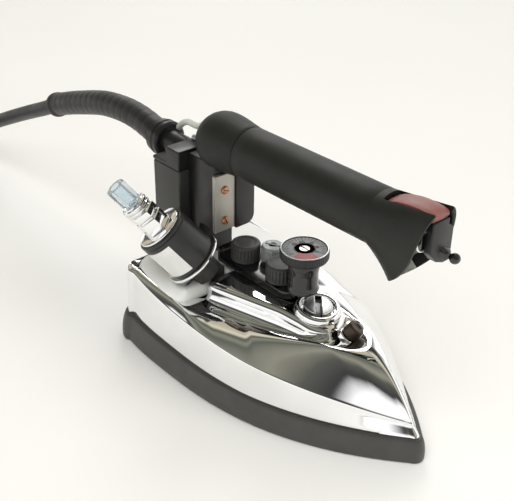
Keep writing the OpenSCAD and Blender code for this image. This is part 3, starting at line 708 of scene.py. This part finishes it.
TILT = math.radians(6.84)
NOSE = (math.sin(TILT), 0, math.cos(TILT))
turned([(10, -3.4), (11, -3.4), (11, 0.1), (13.8, 0.1), (13.5, 1.4), (12.9, 2.8), (12, 3.8),
        (10.8, 3.9), (10, 3.0)], "filler_ring", chrome, at(21, 0, 55.5, NOSE), slot="chrome",
       stands="cup_ring", closed=True, radius=0.7, count=120)
LOBE = math.asin(1.8 / 8.3)
lobes = []
for turn in (0, math.pi):
    edge = [(8.3 * math.cos(turn + LOBE + (math.pi - 2 * LOBE) * i / 28),
             8.3 * math.sin(turn + LOBE + (math.pi - 2 * LOBE) * i / 28)) for i in range(29)]
    lobes.append(prism(edge, 0.8, 4.5, "z"))
v, f, o = merge(*lobes)
piece("drain_screw", v, f, satin, slot="steel", stands="drain_plug", bevel=0.9, segments=4,
      place=at(21, 0, 55.5, NOSE, math.radians(138)))
# the seat is coloured black instead of steel: painted shade in the recess inside the filler ring
# and in the gap between the screw's two lobes
turned([(0, -3.5), (9.9, -3.5), (9.9, -1.6), (8.2, -1.5), (8.2, 0.8), (0, 0.85)], "drain_seat",
       enamel_and_shade, at(21, 0, 55.5, NOSE), slot="steel", count=80, radius=0.3)

VENT = (0.4503, 0.3778, 0.8090)
turned([(3.7, 0.1), (5.5, 0.1), (5.5, 3.0), (5.1, 3.4), (3.7, 3.4)], "vent_ferrule", chrome,
       at(43, 0, 48, VENT), slot="chrome", stands="vent_collar", closed=True, radius=0.3)
turned([(0, 0.5), (3.5, 0.5), (3.5, 3.9), (4.6, 4.0), (5, 4.6), (5, 10.2), (4.5, 10.9), (2.4, 11),
        (2.0, 10.4), (0, 10.3)], "vent_cap", dark_brass, at(43, 0, 48, VENT), slot="dark_brass",
       stands="vent_plug", radius=0.35)

# ---------------------------------------------------------------- thermostat
DIAL_X = 8.5
v, f, o = merge(lathe(rounded([(0, 64), (9.3, 64), (9.3, 65.6), (8.6, 68), (8.5, 76), (9.3, 80.6),
                               (9.3, 84), (3.1, 84)], 0.9), 80),
                moved(lathe([(0, 57), (2.5, 57), (2.5, 62), (3.6, 62), (3.6, 66), (0, 66)], 40),
                      at_mm(3 - DIAL_X, 0, 0)))
piece("thermostat_column", v, f, enamel_and_shade, slot="black_plastic", stands="thermostat_body", angle=40,
      place=at(DIAL_X, 0, 0))
dial_prof = [(0, 70.6), (2.95, 70.6), (2.95, 84.4), (12.4, 84.4), (13.4, 84.9), (14, 86.0),
             (14, 89.9), (13.7, 90.7), (13.0, 91.0), (12.7, 90.7), (12.6, 90.0), (5.3, 90.0),
             (5.0, 89.6), (4.9, 88.4), (0, 88.4)]
v, f = lathe(rounded(dial_prof, 0.25, 2), 180,
             lambda a, r, z: -0.28 * (0.5 - 0.5 * math.cos(a * 60)) if r > 13.8 and z < 90.2 else 0)
piece("dial_knob", v, f, plastic, "dial", "black_plastic", "thermostat_dial", 42,
      place=at(DIAL_X, 0, 0))


def arc_plate(r0, r1, a0, a1, z0, z1, steps=24):
    """A flat ring sector, in degrees."""
    pts = [(r1 * math.cos(math.radians(a0 + (a1 - a0) * i / steps)),
            r1 * math.sin(math.radians(a0 + (a1 - a0) * i / steps))) for i in range(steps + 1)]
    pts += [(r0 * math.cos(math.radians(a1 + (a0 - a1) * i / steps)),
             r0 * math.sin(math.radians(a1 + (a0 - a1) * i / steps))) for i in range(steps + 1)]
    return prism(pts, z0, z1, "z")


parts, kinds = [arc_plate(5.4, 12.4, -180, 180, 90.0, 90.5, 96)], [0]
parts.append(arc_plate(5.9, 12.2, -75, -5, 90.5, 90.62))
kinds.append(1)
parts.append(arc_plate(5.7, 6.3, -180, 180, 90.5, 90.6, 72))
kinds.append(2)
for i in range(25):
    a = 20 + i * 10.4
    parts.append(arc_plate(9.4 if i % 4 else 8.4, 12.0, a - (0.7 if i % 4 else 1.3),
                           a + (0.7 if i % 4 else 1.3), 90.5, 90.6, 2))
    kinds.append(2)
SEGMENTS = {"0": "abcdef", "1": "bc", "2": "abged", "5": "afgcd"}
BARS = {"a": (0, 1, 1, 1), "b": (1, 1, 1, 0), "c": (1, 0, 1, -1), "d": (0, -1, 1, -1),
        "e": (0, 0, 0, -1), "f": (0, 1, 0, 0), "g": (0, 0, 1, 0)}
for a, word in ((22, "50"), (64, "100"), (106, "150"), (148, "200"), (190, "250")):
    m = at_mm(7.3 * math.cos(math.radians(a)), 7.3 * math.sin(math.radians(a)), 90.5,
              spin=math.radians(a - 90))
    for k, digit in enumerate(word):
        ox = (k - len(word) / 2) * 1.05 + 0.12
        for bar in SEGMENTS[digit]:
            x0, y0, x1, y1 = BARS[bar]
            b = box_mesh(ox + x0 * 0.7 - 0.09, ox + x1 * 0.7 + 0.09,
                         min(y0, y1) * 0.75 - 0.09, max(y0, y1) * 0.75 + 0.09, 0, 0.1)
            parts.append(moved(b, m))
            kinds.append(2)
v, f, o = merge(*parts)
piece("dial_scale", v, f, [silver_print, dial_red, dial_ink], "dial", "dial_silver", "dial_plate",
      30, place=at(DIAL_X, 0, 0), face_mats=[kinds[k] for k in o])
# the screw's slot is a raised black bar across the nickel head: painted shade standing in for the
# shadowed slot
screw = lathe(rounded([(0, 88.4), (3.9, 88.4), (3.9, 90.0), (3.2, 90.6), (0, 90.75)], 0.35), 48)
slot_shade_bar = box_mesh(-3.3, 3.3, -0.4, 0.4, 90.4, 90.8)
v, f, o = merge(screw, slot_shade_bar)
turned([(12.75, 90.6), (13.0, 91.02), (13.45, 91.0), (13.7, 90.6)], "dial_bezel", satin,
       at(DIAL_X, 0, 0), "dial", "dial_silver", count=120, closed=True, radius=0.15)
piece("dial_screw_head", v, f, [nickel, enamel_and_shade], "dial", "brass", "dial_screw", 40,
      place=at(DIAL_X, 0, 0), face_mats=[0 if k == 0 else 1 for k in o])

# ---------------------------------------------------------------- rear post
v, f = box_mesh(-105, -79, -20, 20, 54, 111)
piece("post_box", v, f, box_mat, slot="box_grey", stands="rear_box", bevel=1.2, segments=4)
lid_side = [(-105.2, 111.1), (-78.9, 111.1), (-78.9, 123.5), (-92, 123.5), (-92, 113.6),
            (-105.2, 113.6)]
v, f = prism(lid_side, -20.2, 20.2, "y")
piece("post_lid", v, f, plastic, slot="black_plastic", stands="box_lid", bevel=0.9, segments=4)
turned([(0, 123.5), (2.9, 123.5), (2.9, 125.4), (2.4, 126.1), (0, 126.2)], "post_lid_screw", steel,
       at(-88, 0.5, 0), slot="steel", count=48, radius=0.3)

leg_side = [(-79, 54), (-69, 54), (-69, 77.2), (-68.2, 79), (-54.1, 79), (-54.1, 122), (-79, 122)]
v, f = prism(leg_side, -13, 13, "y")
piece("leg", v, f, plastic, slot="black_plastic", stands="handle_leg", bevel=0.8, segments=3)
v, f = box_mesh(-54, -51.6, -15, 0.2, 79, 116)
piece("leg_plate", v, f, plate_mat, slot="chrome", stands="front_plate", bevel=0.35)
guard = [(0.4, 78), (9, 78)]
guard += arc(9, 84, 6, -80, 1, 10)
guard += [(15, 116), (0.4, 116)]
v, f = prism(guard, -54, -50.6, "x")
piece("leg_guard", v, f, plastic, slot="black_plastic", stands="guard_cover", bevel=0.6)
# two screws on the plate: copper heads, each with a raised black bar for its slot, painted shade
# standing in for the shadowed slot
head = lathe(rounded([(0, 0), (2.6, 0), (2.6, 0.6), (2.0, 1.25), (0, 1.4)], 0.3), 36)
bar = box_mesh(-2.2, 2.2, -0.3, 0.3, 1.2, 1.5)
meshes, kinds = [], []
for z, turn in ((86, 0.4), (106, 1.2)):
    for k, m in ((0, head), (1, bar)):
        meshes.append(moved(m, at_mm(-51.6, -7.5, z, (1, 0, 0), turn)))
        kinds.append(k)
v, f, o = merge(*meshes)
piece("leg_plate_screws", v, f, [copper, enamel_and_shade], slot="brass", stands="plate_screws", angle=40,
      face_mats=[kinds[k] for k in o])

# ---------------------------------------------------------------- handle
GRIP_Z = 132.0
SOCK = [(-77.4, 0.0), (-77.3, 1.6), (-76.9, 4), (-76.2, 6.4), (-75, 8.9), (-73.3, 11.3),
        (-71.1, 13.4), (-68.3, 15.3), (-65.3, 16.6), (-62.3, 17.25), (-59.2, 17.45),
        (-56, 17.35), (-53, 17.1), (-50, 16.75), (-47, 16.35), (-44, 15.92), (-41, 15.5),
        (-38.5, 15.22), (-38.0, 14.8), (-38.0, 11.2), (-71.9, 11.2), (-71.9, 0.0)]
v, f = lathe([(r, x) for x, r in SOCK], 96)
piece("grip_socket", v, f, grip_mat, slot="black_plastic", stands="handle_socket", angle=50,
      place=at(0, 0, GRIP_Z, (1, 0, 0)))
GRIP_R = 15.2
GRIP = [(11.1, -37.9), (GRIP_R - 0.4, -37.9), (GRIP_R, -37.4)]
GRIP += [(GRIP_R, -37 + i * 8) for i in range(1, 12)]
GRIP += [(GRIP_R, 60.6), (GRIP_R - 0.2, 61.0), (11.1, 61.0)]
v, f = lathe(GRIP + [(11.1, -37.9)], 96)
piece("grip_sleeve", v, f, grip_mat, slot="grip_black", stands="grip_shell", angle=40,
      place=at(0, 0, GRIP_Z, (1, 0, 0)))


def mouth(a, d):
    z = 126 + (26 - d) * math.cos(a)
    s = math.sin(a)
    low = max(0, -math.cos(a))
    y = (14.8 - d) * (1 - 0.18 * low) * math.copysign(abs(s) ** (0.8 + 0.2 * low), s)
    x = 97.5 - 0.25 * (150 - z) - 0.095 * max(0, 126 - z - d * 0.6) ** 1.5 - d * 0.1
    return x - 3 * low * (1 - abs(s)), y, z


def flare_ring(t, d, count=96):
    out = []
    for i in range(count):
        a = 2 * math.pi * i / count
        p = Vector((61.0, (GRIP_R - d) * math.sin(a), GRIP_Z + (GRIP_R - d) * math.cos(a)))
        out.append(tuple(p.lerp(Vector(mouth(a, d)), t)))
    return out


rings = [flare_ring(t, 0) for t in (0, 0.04, 0.1, 0.2, 0.3, 0.4, 0.5, 0.6, 0.7, 0.8, 0.9, 0.97)]
rings += [flare_ring(0.995, 0.15), flare_ring(1, 0.6), flare_ring(1, 1.7),
          flare_ring(0.99, 2.15)]
rings += [flare_ring(t, 2.2) for t in (0.95, 0.8, 0.6, 0.4, 0.2, 0)]
v, f = lofted(rings, wrap=True)
flare = piece("handle_trumpet", v, f, grip_mat, slot="black_plastic", stands="handle_flare",
              angle=45)
carve(flare, *box_mesh(66, 106, -6.8, 6.8, 141, 162), 45)

# bare liner inside the lower half of the trumpet
half_rings = []
for t in (0.1, 0.25, 0.4, 0.55, 0.7, 0.85, 0.985):
    half_rings.append(([p for p in flare_ring(t, 2.4) if p[2] <= 122],
                       [p for p in flare_ring(t, 3.2) if p[2] <= 122]))


def middle(seq, n):
    extra = len(seq) - n
    return seq[extra // 2:extra // 2 + n]


count = min(min(len(a), len(b)) for a, b in half_rings)
loops = [middle(a, count) + list(reversed(middle(b, count))) for a, b in half_rings]
v, f = lofted(loops)
piece("trumpet_liner", v, f, liner, slot="liner_grey", stands="flare_liner", angle=40)

piece("switch_block", *box_mesh(63.2, 85, -5, 5, 122, 139.9), plastic, slot="black_plastic",
      stands="switch_body", bevel=0.8)
piece("switch_face", *box_mesh(84.9, 85.6, -3.6, 3.6, 124, 137), enamel_and_shade, slot="black_plastic",
      bevel=0.3)
turned([(0, 135), (1.45, 135), (1.45, 143.6), (1.1, 144.1), (0, 144.2)], "switch_pin_skin", red,
       at(81, 0, 0), "switch_pin", "red_plastic", "switch_plunger", count=32, radius=0.3)

# thumb pad: arched along its length and softly crowned across it
pad_top = [(67.0, 144.9), (67.7, 146.1), (70, 147.1), (72.5, 148.0), (75, 148.7), (77.5, 149.25),
           (80, 149.6), (83, 149.85), (86, 149.9), (89, 149.85), (92, 149.6), (94, 149.15),
           (95.2, 148.5), (95.85, 147.6), (96.0, 146.6)]
sections = []
for i, (px, pz) in enumerate(pad_top):
    low = 141.5 if px < 73.5 else 144.5 if px < 95.5 else 145.2
    width = 6.0 - (1.2 if i in (0, len(pad_top) - 1) else 0.4 if i in (1, len(pad_top) - 2) else 0)
    sec = []
    for k in range(9):
        u = -1 + k / 4
        drop = 0.95 * abs(u) ** 3.2
        sec.append((px, width * math.copysign(abs(u) ** 0.9, u), pz - drop))
    sec.append((px, width, pz - 1.3))
    sec.append((px, width, low + 0.5))
    sec.append((px, width - 0.5, low))
    sec.append((px, -width + 0.5, low))
    sec.append((px, -width, low + 0.5))
    sec.append((px, -width, pz - 1.3))
    sections.append(sec)
v, f = lofted(sections)
piece("thumb_pad", v, f, red, "steam_lever", "red_plastic", "steam_button", 40)

arm = [(-6, 144.5), (-6, 128.5), (-0.6, 122.3), (5, 120), (10, 120), (10, 138), (6, 141),
       (6, 144.5)]
piece("lever_block", *prism(arm, 90.5, 96.5, "x"), plastic, "steam_lever", "black_plastic",
      "lever_arm", bevel=0.7)
stub = lathe(rounded([(0, 0), (3.6, 0), (3.6, 6), (0, 6)], 0.5), 48)
ball = [(0.001, -2.8)] + arc(0, 0, 2.8, -80, 81, 10) + [(0.001, 2.8)]
v, f, o = merge(moved(stub, at_mm(93.4, 2.6, 127, (0.534, 0.659, -0.530))),
                moved(lathe(ball, 40), at_mm(101, 7.6, 123.4, (1, 0, 0))),
                moved(lathe([(0, -6), (1.6, -6), (1.6, -2), (0, -2)], 32),
                      at_mm(101, 7.6, 123.4, (1, 0, 0))))
piece("lever_ball", v, f, enamel_and_shade, "steam_lever", "black_plastic", angle=50)
turned(arc(5, 0, 0.7, 0, 360, 30), "lever_eye", satin, at(92, -6.3, 134, (1, 0, 0)), "steam_lever",
       "steel", closed=True, radius=0.1, count=64)
v, f = lathe(rounded([(0, -7.6), (1.5, -7.6), (1.5, 7.6), (0, 7.6)], 0.4), 32)
piece("lever_hinge_pin", v, f, steel, slot="steel", stands="lever_pin",
      place=at(70, 0, 143.6, (0, 1, 0)))

# ---------------------------------------------------------------- solenoid valve
VF = Vector((-53.5, -30.5, 67.4))
VAX = Vector((-0.357, -0.546, 0.758)).normalized()


def along(t, spin=0.0):
    """Matrix in metres for a point along the valve's axis, turned as the CAD's parts are."""
    el_v = math.acos(VAX.z)
    az_v = math.atan2(VAX.y, VAX.x)
    return (Matrix.Translation((VF + t * VAX) * MM) @ Matrix.Rotation(az_v, 4, "Z")
            @ Matrix.Rotation(el_v, 4, "Y") @ Matrix.Rotation(spin, 4, "Z"))


def along_mm(t, spin=0.0):
    m = along(t, spin)
    m.translation = VF + t * VAX
    return m


foot_cyl = moved(lathe(rounded([(0, 0), (9, 0), (9, 12.9), (0, 12.9)], 0.6), 56), along_mm(-14))
foot_block = box_mesh(-60, -44.2, -31, -14, 54.2, 60)
v, f, o = merge(foot_cyl, foot_block)
piece("valve_socket", v, f, bakelite, slot="black_plastic", stands="valve_foot", bevel=0.5)
turned([(6.3, -1.0), (17.7, -1.0), (18, -0.6), (18, 0.4), (17.7, 0.8), (6.3, 0.8)],
       "valve_flange_plate", chrome, along(0), slot="chrome", stands="valve_flange", closed=True,
       radius=0.3, count=96)
CAN_R, CAN_L = 15.8, 25.5
turned([(6.3, 0.85), (CAN_R - 0.3, 0.85), (CAN_R, 1.4), (CAN_R, CAN_L), (CAN_R - 0.2, CAN_L + 0.75),
        (6.3, CAN_L + 0.75)], "valve_can", can_mat, along(0), slot="black_enamel",
       stands="coil_can", closed=True, radius=0.4, count=96)
lab = []
for i in range(49):
    a = math.radians(93 * i / 48)
    lab.append([(r * math.cos(a), r * math.sin(a), z)
                for r, z in ((CAN_R + 0.03, 3.2), (CAN_R + 0.15, 3.2), (CAN_R + 0.15, 23.6),
                             (CAN_R + 0.03, 23.6))])
v, f = lofted(lab)
piece("valve_label", v, f, paper, slot="label_white", stands="can_label", angle=40, place=along(0))


def valve_turned(t0, profile, *rest, **more):
    """A turned piece on the valve's axis, its profile counted from t0 along it."""
    turned([(r, t0 + t) for r, t in profile], *rest, **more)


valve_turned(CAN_L, [(4, 0.85), (15.5, 0.85), (15.8, 1.2), (15.8, 2.5), (15.4, 2.95), (4, 2.95)],
             "valve_cap", can_mat, along(0), slot="black_plastic", stands="can_collar", closed=True,
             radius=0.3, count=96)
valve_turned(CAN_L, [(4, 3.05), (14.1, 3.05), (14.4, 3.4), (14.4, 4.1), (14.1, 4.5), (4, 4.5)],
             "valve_disc", chrome, along(0), slot="chrome", stands="end_disc", closed=True,
             radius=0.25, count=80)
hexes = []
for r, t in ((8.3, 4.55), (9.0, 5.2), (9.0, 12.9), (8.5, 13.5), (7.4, 13.7), (7.4, 14.6),
             (8.5, 14.8), (9.0, 15.4), (9.0, 19.3), (8.3, 20.0)):
    hexes.append([(x, y, CAN_L + t) for x, y in arc(0, 0, r, 0, 360, 60)])
v, f = lofted(hexes)
piece("valve_union", v, f, chrome, slot="steel", stands="inlet_union", angle=25, place=along(0),
      bevel=0.3)
valve_turned(CAN_L, [(3, 20), (6.6, 20), (6.6, 20.9), (8.2, 21.1), (8.2, 22.4), (6.6, 22.6),
                     (6.6, 23.5), (8.2, 23.7), (8.2, 25), (6.8, 25.3), (6.6, 26), (3, 26)],
             "valve_nut", chrome, along(0), slot="steel", stands="inlet_nut", closed=True,
             radius=0.25)
valve_turned(CAN_L, [(3, 26), (6, 26), (6, 39.5), (5.6, 40), (3.4, 40), (3, 39.6)],
             "water_stub", hose_mat, along(0), slot="clear_hose", stands="hose_stub", closed=True,
             radius=0.3)

# ---------------------------------------------------------------- cord entry
GLAND_Z = 114.5
GLAND = [(5.55, -89.6), (7, -89.6), (7, -113.8), (10.2, -113.8), (11.8, -115.0), (11.8, -117.4),
         (11.1, -118.0), (11.1, -118.9), (11.8, -119.5), (11.8, -121.0), (11.0, -121.6),
         (11.0, -124.9), (10.5, -125.35), (5.55, -125.35)]
v, f = lathe([(r, -x) for r, x in rounded(GLAND, 0.3)] + [(5.55, 89.6)], 96)
piece("cord_gland", v, f, plastic, slot="black_plastic", stands="gland_nut", angle=40,
      place=at(0, 0, GLAND_Z, (-1, 0, 0)))


def sweep(points, radii, count=40):
    """Rings across a path in the plane y = 0."""
    rings, n = [], len(points)
    for i, p in enumerate(points):
        a, b = points[max(0, i - 1)], points[min(n - 1, i + 1)]
        t = (Vector(b) - Vector(a)).normalized()
        u = Vector((0, 1, 0))
        w = t.cross(u)
        rings.append([tuple(Vector(p) + radii[i] * (math.cos(2 * math.pi * j / count) * u
                                                    + math.sin(2 * math.pi * j / count) * w))
                      for j in range(count)])
    return rings


def smooth_path(points, step=1.0):
    """Catmull-Rom through the points, sampled about every step."""
    out = []
    for i in range(len(points) - 1):
        p0, p1 = Vector(points[max(0, i - 1)]), Vector(points[i])
        p2, p3 = Vector(points[i + 1]), Vector(points[min(len(points) - 1, i + 2)])
        n = max(1, int((p2 - p1).length / step))
        for k in range(n):
            t = k / n
            out.append(0.5 * (2 * p1 + (p2 - p0) * t + (2 * p0 - 5 * p1 + 4 * p2 - p3) * t * t
                              + (3 * p1 - p0 - 3 * p2 + p3) * t ** 3))
    out.append(Vector(points[-1]))
    return out


path = smooth_path([(-121, 0, 114)] + ROUTE[:10], 1.0)
heading = (Vector(ROUTE[10]) - Vector(ROUTE[9])).normalized()
path += [Vector(ROUTE[9]) + heading * k for k in (0.4, 1.2, 2.4, 3.6, 4.6, 5.0)]
total = len(path) - 1
radii = []
for i in range(total + 1):
    s = i / total
    r = 8.7 - 0.4 * s - 0.3 * max(0, math.cos(2 * math.pi * i / 7)) ** 3
    if i > total - 6:
        r = (8.7, 9.0, 9.05, 9.05, 8.9, 8.3)[i - total + 5]
    radii.append(r)
rings = sweep(path, radii)
rings.append(sweep(path, [5.4] * (total + 1))[-1])
v, f = lofted(rings)
piece("cord_sleeve", v, f, rubber, slot="rubber_black", stands="cord_boot", angle=40)
# a pale sleeve carries the switch wires over to the ball end of the handle
lead = smooth_path([(-113.6, 6.5, 121.5), (-108, 6, 126.4), (-101, 4.6, 129.6), (-94, 2.6, 131),
                    (-87, 1, 132.4), (-81.4, 0, 134.8), (-77.0, 0, 137.2)], 0.8)
v, f = lofted(sweep(lead, [2.0] * len(lead), 20))
piece("switch_lead", v, f, lid_grey, slot="light_grey", stands="wire_sleeve", angle=60)

# ---------------------------------------------------------------- CAD parts kept as they are
KEPT = {"sole_plate": cast_alu, "heater_element": steel, "steam_chamber": cast_alu,
        "chamber_screws": steel, "insulation_board": board, "cover_studs": steel,
        "terminal_block": ceramic, "core_tube": steel, "coil_winding": copper,
        "core_guide": steel, "valve_plunger": steel}
for label, m in KEPT.items():
    slots = nodes[label].data.materials
    if not len(slots):
        slots.append(m)
    for i in range(len(slots)):
        slots[i] = m

# ---------------------------------------------------------------- floor, world and lights
floor_mat = material("floor_pale", (0.93, 0.928, 0.922), 0.75, 0.0, 0.012, 3, 0.05, 400, 0.02,
                     specular=0.2)
fm = bpy.data.meshes.new("floor")
fm.from_pydata([(-6, -6, -0.0003), (6, -6, -0.0003), (6, 6, -0.0003), (-6, 6, -0.0003)], [],
               [(0, 1, 2, 3)])
fm.materials.append(floor_mat)
floor = bpy.data.objects.new("floor", fm)
scene.collection.objects.link(floor)

world = bpy.data.worlds.new("studio")
scene.world = world
world.use_nodes = True
wt = world.node_tree


def math_node(operation, *values):
    """A math node; a value is a number or the socket that feeds it."""
    n = wt.nodes.new("ShaderNodeMath")
    n.operation = operation
    for i, value in enumerate(values):
        if isinstance(value, (int, float)):
            n.inputs[i].default_value = value
        else:
            wt.links.new(value, n.inputs[i])
    return n.outputs["Value"]


direction = wt.nodes.new("ShaderNodeTexCoord").outputs["Generated"]
split = wt.nodes.new("ShaderNodeSeparateXYZ")
wt.links.new(direction, split.inputs["Vector"])
waver = wt.nodes.new("ShaderNodeTexNoise")
waver.inputs["Scale"].default_value = 1.6
waver.inputs["Detail"].default_value = 2.0
wt.links.new(direction, waver.inputs["Vector"])
# long soft bands that run along the iron: the angle about X, in degrees from straight up
sky = wt.nodes.new("ShaderNodeValToRGB")
stops = [(-180, (0.98, 0.98, 0.97)), (-74, (0.98, 0.98, 0.97)), (-64, (0.04, 0.04, 0.04)),
         (-48, (0.09, 0.09, 0.08)), (-36, (0.26, 0.25, 0.20)), (-22, (0.17, 0.17, 0.14)),
         (-12, (0.10, 0.11, 0.09)), (-6, (0.22, 0.22, 0.18)), (-1, (0.08, 0.08, 0.06)),
         (3, (0.62, 0.58, 0.47)), (9, (0.44, 0.39, 0.29)), (28, (0.46, 0.42, 0.32)),
         (33, (0.66, 0.62, 0.52)), (39, (0.06, 0.05, 0.04)), (44, (0.03, 0.03, 0.03)),
         (50, (0.22, 0.23, 0.22)), (60, (0.98, 0.98, 0.97)), (180, (0.98, 0.98, 0.97))]
bands = sky.color_ramp
while len(bands.elements) < len(stops):
    bands.elements.new(0.5)
for e, (deg, c) in zip(bands.elements, stops):
    e.position = (deg + 180) / 360
    e.color = (*c, 1)
angle = math_node("ARCTAN2", split.outputs["Y"], split.outputs["Z"])
middle_of_ramp = math_node("MULTIPLY_ADD", waver.outputs["Fac"], 0.05, 0.475)
turns = math_node("MULTIPLY_ADD", angle, 1 / (2 * math.pi), middle_of_ramp)
wt.links.new(turns, sky.inputs["Fac"])
bg = wt.nodes["Background"]
wt.links.new(sky.outputs["Color"], bg.inputs["Color"])
bg.inputs["Strength"].default_value = 1.2


def lamp(name, place, target, size, size_y, power, tint=(1, 1, 1)):
    """A soft area light; only the rim light shows in the chrome."""
    data = bpy.data.lights.new(name, "AREA")
    data.shape = "RECTANGLE"
    data.size, data.size_y = size, size_y
    data.energy = power
    data.color = tint
    o = bpy.data.objects.new(name, data)
    o.location = place
    o.rotation_euler = (Vector(target) - Vector(place)).to_track_quat("-Z", "Y").to_euler()
    o.visible_glossy = name == "rim"
    scene.collection.objects.link(o)


lamp("key", (0.5, -0.9, 1.6), (0, 0, 0.05), 1.2, 1.2, 19, (1, 0.99, 0.975))
lamp("fill", (1.5, 0.6, 1.1), (0, 0, 0.05), 1.0, 0.7, 11, (1, 0.995, 0.985))
lamp("rim", (-1.1, 0.9, 1.3), (0, 0, 0.08), 0.9, 0.5, 8)
scene.view_settings.view_transform = "Standard"
